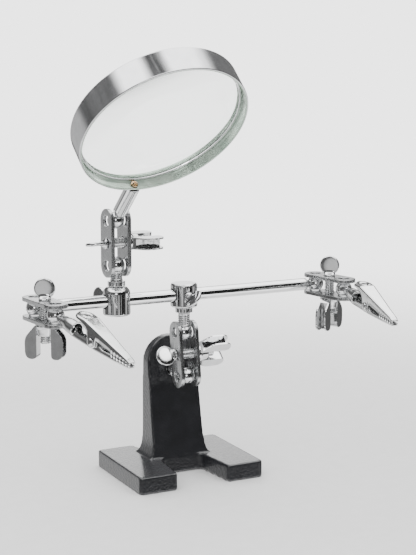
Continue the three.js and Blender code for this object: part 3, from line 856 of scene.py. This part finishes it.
def wing_nut():
    """A pressed wing nut whose seat is at the origin. Its two wings are channels that open outwards."""
    length, web, sheet = NUT["length"], NUT["web"], NUT["sheet"]
    half = NUT["thickness"] / 2
    hub = lathe(
        rounded(
            [
                (0, 0),
                (0, NUT["hub"], 0.3),
                (1.3, NUT["hub"], 0.4),
                (2.0, NUT["hub"] - 0.5, 0.3),
                (length, NUT["top"], 0.5),
                (length, 0),
            ]
        )
    )
    slot_outline = [(2.2, web + sheet), (20, web + sheet), (20, 12), (2.2, 12)]
    soft_edges = {
        "width": 0.3,
        "segments": 3,
        "limit_method": "ANGLE",
        "angle_limit": math.radians(40),
        "harden_normals": False,
    }
    wings = []
    for turn in (0, 180):
        spin = Matrix.Rotation(math.radians(turn), 4, "X")
        wing = prism(wing_outline(), half, spin @ UPRIGHT)
        slot = prism(slot_outline, half - sheet, spin @ UPRIGHT)
        wing = combined(wing, [slot], "DIFFERENCE")
        wings.append(modified(wing, ("BEVEL", soft_edges)))
    bore = cylinder(-1, length + 1, NUT["bore"])
    return combined(combined(hub, wings), [bore], "DIFFERENCE")


def build_clamps():
    plate = clamp_plate()
    bolt = paddle_screw(
        BOLT["radius"], BOLT["end"], -OUTER - GAP, -PADDLE["centre"], BOLT["pitch"], BOLT["depth"]
    )
    nut = wing_nut()
    stand = Matrix.Rotation(math.radians(90), 4, "Y") @ TO_Y
    centre = PLATE["inner"] + PLATE["thickness"] / 2
    for which, matrix in CLAMPS.items():
        clamp = f"{which}_clamp"
        sides = ("left", "right") if which in ("lower", "upper") else ("top", "bottom")
        for name, x in zip(sides, (-centre, centre)):
            node = f"{clamp}_{name}_plate"
            made = moved(plate.copy(), stand)
            add(node + "_fine", made, shifted(matrix, x), clamp, [node], "nickel_plate", NICKEL)
        node = f"{clamp}_bolt"
        at = turned_about_x(shifted(matrix, z=PITCH / 2), PADDLE_TURN[which])
        add(node + "_fine", bolt, at, clamp, [node], *CHROMED)
        node = f"{which}_wing_nut"
        at = turned_about_x(shifted(matrix, OUTER + GAP, 0, PITCH / 2), NUT_TURN[which])
        add(node + "_fine", nut, at, f"{which}_nut", [node], "chrome", PRESSED, 50)


# ---------------------------------------------------------------- couplers and rod


def coupler_body(half, stud_side, screw_angle, dome):
    """An upright cylinder with flared cross holes for the rod and the screw."""
    radius = COUPLER["radius"]
    outer = lathe(
        rounded(
            [
                (-half, 0),
                (-half, radius - 0.8, 0.3),
                (-half + 0.6, radius - 0.1, 0.3),
                (-half + 1.2, radius - 0.05, 0.3),
                (half - dome, radius - 0.15, dome * 0.6),
                (half, radius - dome, dome * 0.5),
                (half, 0),
            ]
        ),
        96,
    )
    outer = moved(outer, TO_Z)
    bore = COUPLER["bore"]
    rod_tool = lathe(
        [(-8, 0), (-8, bore + 1.2), (-5.9, bore), (5.9, bore), (8, bore + 1.2), (8, 0)], 64
    )
    screw = COUPLER["screw"] + GAP
    screw_tool = moved(
        lathe([(0, 0), (0, screw), (6.0, screw), (7.5, screw + 1.2), (7.5, 0)], 48),
        Matrix.Rotation(screw_angle, 4, "Z"),
    )
    stud_way = TO_Z if stud_side > 0 else TO_Z @ Matrix.Rotation(math.pi, 4, "Z")
    stud_tool = moved(cylinder(0, 2 * half, COUPLER["stud_bore"], 48), stud_way)
    return combined(outer, [rod_tool, screw_tool, stud_tool], "DIFFERENCE")


def coupler_stud(distance, half):
    face = distance - half
    shank_end = distance - COUPLER["bore"] - GAP
    return ball_stud(face - 2.6, face - GAP, 4.1, shank_end, SHANK - 0.5, COUPLER["neck"], 0.9)


def build_couplers():
    radius = COUPLER["radius"]
    thumb = paddle_screw(
        COUPLER["screw"],
        -COUPLER["bore"] - COUPLER["screw"] / 2 - GAP,
        -radius - GAP,
        -(radius + 1 + PADDLE["radius"] + 0.6),
        0.7,
        0.35,
    )
    sides = {
        "centre": ("centre_screw_spin", "rod_pitch", "centre_stud", "centre_coupler_ball_stud", -1),
        "magnifier": ("magnifier_screw_spin", "magnifier_turn", "magnifier_post", "magnifier_ball_stud", 1),
    }
    for which, (spin, ball_joint, stud_body, stud_node, way) in sides.items():
        centre = place(spin)
        inward = axis(spin)
        half = COUPLER_HALF[which]
        upright = frame_at(centre, ALONG_X, UP)
        screw_angle = math.atan2(-inward.y, -inward.x)
        body = coupler_body(half, way, screw_angle, COUPLER_DOME[which])
        node = f"{which}_coupler"
        add(node + "_fine", body, upright, f"{which}_block", [node], *CHROMED)
        at = turned_about_x(frame_at(centre, inward, UP), THUMB_ROLL[which])
        node = f"{which}_thumb_screw"
        add(node + "_fine", thumb, at, f"{which}_screw", [node], *CHROMED)
        ball = place(ball_joint)
        distance = (centre - ball).length / MM
        stud = moved(coupler_stud(distance, half), TO_Z)
        if way > 0:
            stud = moved(stud, Matrix.Rotation(math.pi, 4, "X"))
        spot = Matrix.Translation(ball)
        add(stud_node + "_fine", stud, spot, stud_body, [stud_node], *CHROMED)


def build_rod():
    left = place("left_clamp_roll")
    right = place("right_clamp_roll")
    length = (right - left).length / MM
    start = ROD_END
    end = length - ROD_END
    bore = TAP["radius"] + GAP
    depth = TAP["depth"]
    points = rounded(
        [
            (start + depth, 0),
            (start + depth, bore),
            (start, bore),
            (start, ROD_RADIUS, 0.5),
            (end, ROD_RADIUS, 0.5),
            (end, bore),
            (end - depth, bore),
            (end - depth, 0),
        ]
    )
    rod = lathe(points, 96)
    add("rod_fine", rod, Matrix.Translation(left), "rod", ["main_rod"], "chrome", ROD_CHROME)
    half_turn = Matrix.Rotation(math.pi, 4, "Z")
    for side, spot, way in (("left", left, Matrix.Identity(4)), ("right", right, half_turn)):
        node = f"{side}_rod_ball"
        at = Matrix.Translation(spot) @ way
        add(node + "_fine", screwed_ball(ROD_END), at, f"{side}_ball", [node], *CHROMED)


def build_foot_stud():
    neck_end, collar_end, collar, end = FOOT_STUD.values()
    stud = moved(ball_stud(neck_end, collar_end, collar, end, SHANK), TO_Y)
    at = Matrix.Translation(place("foot_stud_twist"))
    add("foot_ball_stud_fine", stud, at, "foot_stud", ["base_ball_stud"], *CHROMED)


# ---------------------------------------------------------------- crocodile clips


def clip_half(x):
    """The upper jaw's half width at a distance along the clip."""
    pad_x, pad = CLIP["pad_x"], CLIP["pad"]
    if x <= pad_x:
        return math.sqrt(max(0.02, pad * pad - (x - pad_x) ** 2))
    return pad + (CLIP["tip_half"] - pad) * (x - pad_x) / (CLIP["tip"] - pad_x)


def between(x, *stations):
    """Straight-line value at x through (x, value) stations."""
    for (x0, v0), (x1, v1) in zip(stations, stations[1:]):
        if x <= x1:
            return v0 + (v1 - v0) * (x - x0) / (x1 - x0)
    return stations[-1][1]


def tooth(x, crest, depth):
    """Teeth from the tip back: flat crests with vees between them."""
    share = ((CLIP["tip"] - x) / CLIP["tooth"]) % 1.0
    if share < 0.3:
        return crest
    return crest + depth * (1 - abs((share - 0.65) / 0.35))


def upper_top(x):
    pad_end = CLIP["pad_x"] + CLIP["pad"]
    return between(
        x, (0, CLIP["pad_z"]), (pad_end, CLIP["pad_z"]), (CLIP["tip"] - 2, 2.3), (CLIP["tip"], 1.5)
    )


def upper_edge(x):
    """Height of the upper jaw's lower edge."""
    pivot_x, pivot_z, ear = CLIP["pivot_x"], CLIP["pivot_z"], CLIP["ear"]
    if x >= CLIP["teeth_end"]:
        return tooth(x, 0.15, 0.8)
    plain = between(
        x,
        (CLIP["pad_x"] - CLIP["pad"] - 1, 8.1),
        (CLIP["pad_x"] + 1.5, 6.9),
        (CLIP["pad_x"] + 5.6, 4.6),
        (pivot_x - ear, 2.2),
        (pivot_x + ear, 2.4),
        (CLIP["gap_x"], 1.7),
        (CLIP["teeth_end"], 0.9),
    )
    if abs(x - pivot_x) < ear:
        return min(plain, pivot_z - math.sqrt(ear * ear - (x - pivot_x) ** 2))
    return plain


def lower_half(x):
    return min(CLIP["lower_half"], clip_half(x)) if x > 40 else CLIP["lower_half"]


def lower_floor(x):
    return between(x, (15, -3.4), (34, -3.1), (CLIP["tip"], -1.6))


def lower_edge(x):
    """Height of the lower jaw's upper edge."""
    pivot_x, pivot_z, ear = CLIP["pivot_x"], CLIP["pivot_z"], CLIP["ear"]
    if x >= CLIP["teeth_end"]:
        return tooth(x, -0.15, -0.55)
    plain = between(
        x, (15, 0.2), (21, -0.4), (pivot_x, 0.4), (CLIP["gap_x"], -0.6), (CLIP["teeth_end"], -0.15)
    )
    if abs(x - pivot_x) < ear:
        return max(plain, pivot_z + math.sqrt(ear * ear - (x - pivot_x) ** 2))
    return plain


def wall_tuck(x, way):
    """How far a wall leans in at its free edge. Round the pivot it leans less, so that the upper
    jaw's ears clear the lower jaw's, and the lower jaw's clear the spring while the clip is shut."""
    beyond = max(0.0, abs(x - CLIP["pivot_x"]) - CLIP["ear"])
    near = max(0.0, 1 - beyond / 2)
    least = 0.25 if way > 0 else 0.15
    return 0.5 + (least - 0.5) * near


def channel(stations, half, web, edge, way, emboss=None):
    """A folded sheet channel. web is the height of its flat and edge that of its walls' free edges.
    way is 1 where the flat is above the walls and -1 where it is below them."""
    bm = bmesh.new()
    rows = []
    for x in stations:
        w, top, low = half(x), web(x), edge(x)
        corner = min(1.1, w * 0.45, abs(top - low) * 0.9)
        section = []
        for k in range(7):
            tuck = wall_tuck(x, way) * max(0.0, 1 - k / 3.6) ** 1.3
            section.append((w - tuck, low + (top - way * corner - low) * k / 6))
        for k in range(1, 6):
            angle = math.pi / 2 * k / 6
            y = w - corner + corner * math.cos(angle)
            section.append((y, top - way * corner + way * corner * math.sin(angle)))
        flat = w - corner
        for k in range(17):
            y = flat - 2 * flat * k / 16
            section.append((y, top + (emboss(x, y) if emboss else 0)))
        section += [(-y, z) for y, z in reversed(section[:12])]
        rows.append([bm.verts.new((x, y, z)) for y, z in section])
    for a, b in zip(rows, rows[1:]):
        for k in range(len(a) - 1):
            bm.faces.new([a[k], a[k + 1], b[k + 1], b[k]])
    mesh = mesh_from(bm)
    middle = max(mesh.polygons, key=lambda p: p.center.z * way)
    if middle.normal.z * way < 0:
        mesh.flip_normals()
    sheet = {"thickness": CLIP["wall"], "offset": -1.0, "use_even_offset": False}
    edges = {"width": 0.12, "segments": 2, "limit_method": "ANGLE", "angle_limit": math.radians(50)}
    return modified(mesh, ("SOLIDIFY", sheet), ("BEVEL", edges))


def steps_between(start, end, step):
    count = max(1, round((end - start) / step))
    return [start + (end - start) * i / count for i in range(count + 1)]


def pad_emboss(x, y):
    """The sunk oval groove in the thumb pad."""
    reach = math.hypot((x - CLIP["pad_x"] - 0.4) / 2.7, y / 1.9)
    return -0.3 * math.exp(-(((reach - 1) / 0.22) ** 2))


def cross_hole(mesh):
    tool = moved(cylinder(-10, 10, RIVET["hole"], 32), PIVOT_AXIS)
    return combined(mesh, [tool], "DIFFERENCE")


def upper_jaw():
    rear = CLIP["pad_x"] - CLIP["pad"]
    stations = steps_between(rear + 0.02, rear + 1, 0.12)[:-1]
    stations += steps_between(rear + 1, rear + 9, 0.12)[:-1]
    stations += steps_between(rear + 9, CLIP["teeth_end"], 0.3)[:-1]
    stations += steps_between(CLIP["teeth_end"], CLIP["tip"], 0.1)
    return cross_hole(channel(stations, clip_half, upper_top, upper_edge, 1, pad_emboss))


def lower_jaw():
    stations = steps_between(15, CLIP["teeth_end"], 0.3)[:-1]
    stations += steps_between(CLIP["teeth_end"], CLIP["tip"], 0.1)
    jaw = cross_hole(channel(stations, lower_half, lower_floor, lower_edge, -1))
    start, end = CLIP["barrel_start"], CLIP["barrel_end"]
    radius, bore = CLIP["barrel"], CLIP["bore"]
    barrel = lathe(
        rounded(
            [
                (start, bore),
                (start, radius - 0.75, 0.2),
                (end - 5, radius - 0.1, 1.5),
                (end, radius, 0.25),
                (end, bore, 0.1),
                (start, bore),
            ]
        )[:-1],
        64,
        closed=True,
    )
    return joined(jaw, barrel)


def rivet():
    outer = clip_half(CLIP["pivot_x"]) + GAP
    pin, head = RIVET["pin"], RIVET["head"]
    points = rounded(
        [
            (-outer - 0.75, 0),
            (-outer - 0.7, pin, 0.5),
            (-outer, head, 0.15),
            (-outer, pin),
            (outer, pin),
            (outer, head, 0.15),
            (outer + 0.7, pin, 0.5),
            (outer + 0.75, 0),
        ]
    )
    return moved(lathe(points, 40), PIVOT_AXIS)


def tube(points, radius, sides=10):
    """A round wire along points, closed at both ends."""
    bm = bmesh.new()
    rings = []
    normal = Vector((0, 1, 0))
    for i, point in enumerate(points):
        along = (points[min(i + 1, len(points) - 1)] - points[max(i - 1, 0)]).normalized()
        normal = (normal - along * normal.dot(along)).normalized()
        other = along.cross(normal)
        ring = []
        for k in range(sides):
            angle = 2 * math.pi * k / sides
            outward = normal * math.cos(angle) + other * math.sin(angle)
            ring.append(bm.verts.new(point + outward * radius))
        rings.append(ring)
    for low, high in zip(rings, rings[1:]):
        bridge(bm, low, high)
    bm.faces.new(rings[0])
    bm.faces.new(list(reversed(rings[-1])))
    return mesh_from(bm)


def spring():
    """A torsion spring round the rivet, with a leg under the pad and one on the lower jaw's floor."""
    turns, width, coil = SPRING["turns"], SPRING["half_width"], SPRING["coil"]
    pivot_x, pivot_z = CLIP["pivot_x"], CLIP["pivot_z"]
    start = math.pi * 0.6
    points = []
    first = Vector((pivot_x + coil * math.cos(start), -width, pivot_z + coil * math.sin(start)))
    leg = Vector((CLIP["pad_x"], -width, SPRING["pad_leg"]))
    points += [leg + (first - leg) * k / 12 for k in range(12)]
    steps = 90
    for i in range(steps + 1):
        angle = start - turns * 2 * math.pi * i / steps
        y = -width + 2 * width * i / steps
        points.append(Vector((pivot_x + coil * math.cos(angle), y, pivot_z + coil * math.sin(angle))))
    last = points[-1]
    foot = Vector((CLIP["pad_x"], width, SPRING["floor_leg"]))
    points += [last + (foot - last) * k / 12 for k in range(1, 13)]
    return tube(points, SPRING["wire"])


def clip_stud():
    shank = CLIP["bore"] - GAP
    start, end = CLIP["barrel_start"], CLIP["stud_end"]
    tail = rounded(
        [
            (start - 2.6, NECK),
            (start - 1.9, NECK, 0.2),
            (start - 1.4, shank, 0.3),
            (end, shank, 0.5),
            (end, 0),
        ]
    )
    return lathe(ball_points() + tail)


def build_clips():
    pieces = (
        ("clip_ball_stud", clip_stud(), "clip_stud", *CHROMED),
        ("clip_lower_jaw", lower_jaw(), "clip", "clip_nickel", CLIP_NICKEL),
        ("clip_upper_jaw", upper_jaw(), "lever", "clip_nickel", CLIP_NICKEL),
        ("clip_pivot_rivet", rivet(), "clip", "clip_nickel", CLIP_NICKEL),
    )
    for side, matrix in CLIPS.items():
        for name, mesh, body, slot, material in pieces:
            node = f"{side}_{name}"
            add(node + "_fine", mesh, matrix, f"{side}_{body}", [node], slot, material)
        node = f"{side}_clip_spring"
        wire = spring()
        wire.transform(matrix @ Matrix.Scale(MM, 4))
        smooth(wire)
        wire.materials.append(WIRE_STEEL)
        made = linked(node + "_fine", wire)
        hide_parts(node)
        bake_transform(made)


# ---------------------------------------------------------------- magnifier


def magnifier_rim():
    rim, wall, front, back = HEAD["rim"], HEAD["wall"], HEAD["front"], HEAD["back"]
    inner = rim - wall
    lip, depth, lip_inner = HEAD["lip"], HEAD["lip_depth"], HEAD["lip_inner"]
    points = rounded(
        [
            (lip, inner),
            (front, inner, 0.45),
            (front, rim, 0.6),
            (back, rim, 0.6),
            (back, inner, 0.45),
            (lip + depth, inner, 0.2),
            (lip + depth, lip_inner, 0.35),
            (lip, lip_inner, 0.35),
            (lip, inner),
        ]
    )[:-1]
    band = moved(lathe(points, 180, closed=True), LENS_AXIS)
    hole = moved(cylinder(10, HEAD["centre"], TAP["radius"] + GAP, 40), TO_Z)
    return combined(band, [hole], "DIFFERENCE")


def magnifier_lens():
    radius = HEAD["rim"] - HEAD["wall"] - GAP
    back = HEAD["lip"] - GAP
    front = back - HEAD["lens_edge"]
    bulge = HEAD["lens_bulge"]
    steps = 24
    shares = [i / steps for i in range(steps + 1)]
    points = [(front - bulge * (1 - s * s), radius * s) for s in shares]
    points += [(back + bulge * (1 - s * s), radius * s) for s in reversed(shares)]
    return moved(lathe(points, 160), LENS_AXIS)


def retaining_ring():
    outer = HEAD["rim"] - HEAD["wall"] - GAP
    back = HEAD["lip"] - HEAD["lens_edge"] - 2 * GAP
    front = back - 0.6
    points = rounded(
        [
            (back, outer - 0.5),
            (back, outer - 1, 0.15),
            (front, outer - 1, 0.2),
            (front, outer, 0.2),
            (back, outer, 0.15),
            (back, outer - 0.5),
        ]
    )[:-1]
    return moved(lathe(points, 160, closed=True), LENS_AXIS)


def magnifier_stem():
    radius, start = HEAD["stem"], HEAD["stem_start"]
    end = HEAD["centre"] - HEAD["rim"]
    bore = TAP["radius"] + GAP
    points = rounded(
        [
            (start + TAP["depth"], 0),
            (start + TAP["depth"], bore),
            (start, bore),
            (start, radius, 0.5),
            (end + 1, radius, 0.1),
            (end + 1, bore),
            (end - TAP["depth"], bore),
            (end - TAP["depth"], 0),
        ]
    )
    stem = moved(lathe(points), TO_Z)
    space = moved(cylinder(-20, 20, HEAD["rim"] + GAP, 180), LENS_AXIS)
    return combined(stem, [space], "DIFFERENCE")


def rim_screw():
    seat = HEAD["centre"] - HEAD["rim"] + HEAD["wall"] + GAP
    tip = seat - HEAD["wall"] - TAP["depth"] + 1
    points = [(tip, 0), (tip, TAP["radius"] - 0.3)]
    points += shaft_rows(tip + 0.3, seat - 0.3, TAP["radius"], 0.5)
    head, top = 1.7, seat + 1.1
    points += rounded(
        [
            (seat, TAP["radius"]),
            (seat, head, 0.15),
            (seat + 0.65, head, 0.4),
            (top, 1.0, 0.4),
            (top, 0),
        ]
    )
    body = lathe(points, 48, shape=thread_shape(tip + 0.3, seat - 0.3, 0.5, 0.25))
    slot_outline = [(-0.22, -3), (0.22, -3), (0.22, 3), (-0.22, 3)]
    slot = prism(slot_outline, 0.4, Matrix.Translation((top, 0, 0)) @ TO_Z)
    body = combined(body, [slot], "DIFFERENCE")
    return moved(body, TO_Z)


def build_magnifier():
    rows = (
        ("magnifier_stem", magnifier_stem(), *CHROMED),
        ("magnifier_rim", magnifier_rim(), "polished_steel", BAND_STEEL),
        ("magnifier_lens", magnifier_lens(), "lens_glass", GLASS),
        ("lens_retaining_ring", retaining_ring(), *CHROMED),
        ("rim_screw", rim_screw(), "brass", BRASS),
    )
    for node, mesh, slot, material in rows:
        add(node + "_fine", mesh, MAGNIFIER, "magnifier_head", [node], slot, material)
    ball = moved(screwed_ball(HEAD["stem_start"]), TO_Z)
    add("magnifier_ball_fine", ball, MAGNIFIER, "magnifier_ball", ["magnifier_ball"], *CHROMED)


# ---------------------------------------------------------------- stage, light and camera


def build_stage():
    bm = bmesh.new()
    bmesh.ops.create_circle(bm, cap_ends=True, radius=1.2, segments=96)
    mesh = bpy.data.meshes.new("floor")
    bm.to_mesh(mesh)
    bm.free()
    floor = linked("floor", mesh)
    floor.location.z = cad_bounds[0][2] - 0.00005
    material, nodes, links, principled = shader("floor_paper", Roughness=0.85)
    vector = coordinates(nodes, links)
    fibre = noise(nodes, links, vector, 140, 5)
    links.new(ramp(nodes, links, fibre, (0.3, 0.44), (0.7, 0.46)), principled.inputs["Base Color"])
    length = vector_length(nodes, links, vector)
    fade = map_range(nodes, links, length, (0.16, 0.75), (1.0, 0.0), "SMOOTHSTEP")
    links.new(fade, principled.inputs["Alpha"])
    mesh.materials.append(material)
    floor.visible_glossy = False


PALE = 3.3  # brightness of the plain backdrop


def heading(turn, height):
    """The direction a share of a turn round from -X, at a height between -1 and 1."""
    angle = (turn - 0.5) * 2 * math.pi
    across = math.sqrt(1 - height * height)
    return (across * math.cos(angle), across * math.sin(angle), height)


def build_world():
    """A plain pale backdrop. Metal reflects a dim studio with a bright ceiling and a pale floor."""
    world = bpy.data.worlds.new("studio")
    bpy.context.scene.world = world
    world.use_nodes = True
    nodes, links = world.node_tree.nodes, world.node_tree.links
    nodes.clear()
    source = nodes.new("ShaderNodeTexCoord")
    split = nodes.new("ShaderNodeSeparateXYZ")
    links.new(source.outputs["Generated"], split.inputs["Vector"])
    colour = ramp(
        nodes,
        links,
        map_range(nodes, links, split.outputs["Z"], (-1, 1)),
        (0.0, 0.3),
        (0.25, 0.5),
        (0.33, 0.03),
        (0.66, 0.022),
        (0.8, 0.04),
        (0.865, 0.6),
        (0.95, 0.9),
    )
    # (share of a turn, height), (inner, outer) size in degrees, brightness
    patches = (
        ((0.325, -0.6), (12, 16), 0.6),
        ((0.325, 0.2), (27, 34), 0.004),
        ((0.335, 0.62), (3.5, 5.5), 1.0),
        ((0.295, -0.17), (1.5, 4), 0.1),
        ((0.352, -0.26), (2, 5), 0.4),
        ((0.05, -0.1), (5, 10), 0.004),
        ((0.09, -0.21), (4, 8), 0.07),
        ((0.14, -0.16), (5, 9), 0.18),
        ((0.005, -0.19), (3, 7), 0.25),
        ((0.18, 0.2), (5, 11), 1.0),
        ((0.8, -0.2), (18, 30), 0.16),
        ((0.82, -0.3), (4, 11), 0.3),
        ((0.588, -0.2), (4, 8), 0.3),
        ((0.2, -0.16), (3, 6), 0.05),
        ((0.24, -0.2), (2, 5), 0.25),
        ((0.43, -0.16), (4, 9), 0.15),
        ((0.6, 0.35), (14, 34), 0.05),
        ((0.69, 0.26), (7, 15), 0.6),
        ((0.625, 0.74), (8, 15), 1.0),
        ((0.93, 0.38), (10, 22), 0.045),
        ((0.0, 0.84), (9, 18), 1.0),
        ((0.47, 0.95), (14, 24), 1.0),
        ((0.13, 0.975), (4, 15), 0.02),
    )
    for (turn, rise), (inner, outer), value in patches:
        towards = nodes.new("ShaderNodeVectorMath")
        towards.operation = "DOT_PRODUCT"
        towards.inputs[1].default_value = heading(turn, rise)
        links.new(source.outputs["Generated"], towards.inputs[0])
        edges = (math.cos(math.radians(outer)), math.cos(math.radians(inner)))
        spread = map_range(nodes, links, towards.outputs["Value"], edges, interpolation="SMOOTHSTEP")
        mix = nodes.new("ShaderNodeMixRGB")
        mix.inputs["Color2"].default_value = (value, value, value, 1)
        links.new(spread, mix.inputs["Fac"])
        links.new(colour, mix.inputs["Color1"])
        colour = mix.outputs["Color"]
    studio = nodes.new("ShaderNodeBackground")
    studio.inputs["Strength"].default_value = 4.0
    links.new(colour, studio.inputs["Color"])
    path = nodes.new("ShaderNodeLightPath")
    mirrored = nodes.new("ShaderNodeMath")
    mirrored.operation = "SUBTRACT"
    mirrored.use_clamp = True
    links.new(path.outputs["Is Glossy Ray"], mirrored.inputs[0])
    links.new(path.outputs["Is Transmission Ray"], mirrored.inputs[1])
    plain = nodes.new("ShaderNodeBackground")
    plain.inputs["Color"].default_value = (1, 1, 1, 1)
    plain.inputs["Strength"].default_value = PALE
    choice = nodes.new("ShaderNodeMixShader")
    links.new(mirrored.outputs["Value"], choice.inputs["Fac"])
    links.new(plain.outputs["Background"], choice.inputs[1])
    links.new(studio.outputs["Background"], choice.inputs[2])
    out = nodes.new("ShaderNodeOutputWorld")
    links.new(choice.outputs["Shader"], out.inputs["Surface"])


def area_light(name, at, size, power, aim):
    data = bpy.data.lights.new(name, "AREA")
    data.shape = "RECTANGLE"
    data.size, data.size_y = size
    data.energy = power
    lamp = linked(name, data)
    lamp.location = at
    lamp.visible_glossy = False
    lamp.rotation_euler = (aim - Vector(at)).to_track_quat("-Z", "Y").to_euler()


def build_lights():
    aim = Vector((0, 0, 0.09))
    area_light("key", (-0.55, -0.35, 0.75), (0.5, 0.5), 5.0, aim)
    area_light("fill", (0.8, -0.5, 0.45), (0.4, 0.6), 2.2, aim)
    area_light("rim", (0.1, 0.9, 0.8), (0.8, 0.4), 4.0, aim)


def build_camera():
    camera = bpy.data.cameras.new("camera")
    camera.lens = 88.15
    camera.sensor_width = 36
    camera.clip_start = 0.01
    holder = linked("camera", camera)
    holder.location = (-0.27844, -0.58273, 0.20338)
    look = Vector((0.445, 0.881, -0.163))
    holder.rotation_euler = look.to_track_quat("-Z", "Y").to_euler()
    bpy.context.scene.camera = holder


build_foot()
build_foot_stud()
build_clamps()
build_couplers()
build_rod()
build_clips()
build_magnifier()
build_stage()
build_world()
build_lights()
build_camera()
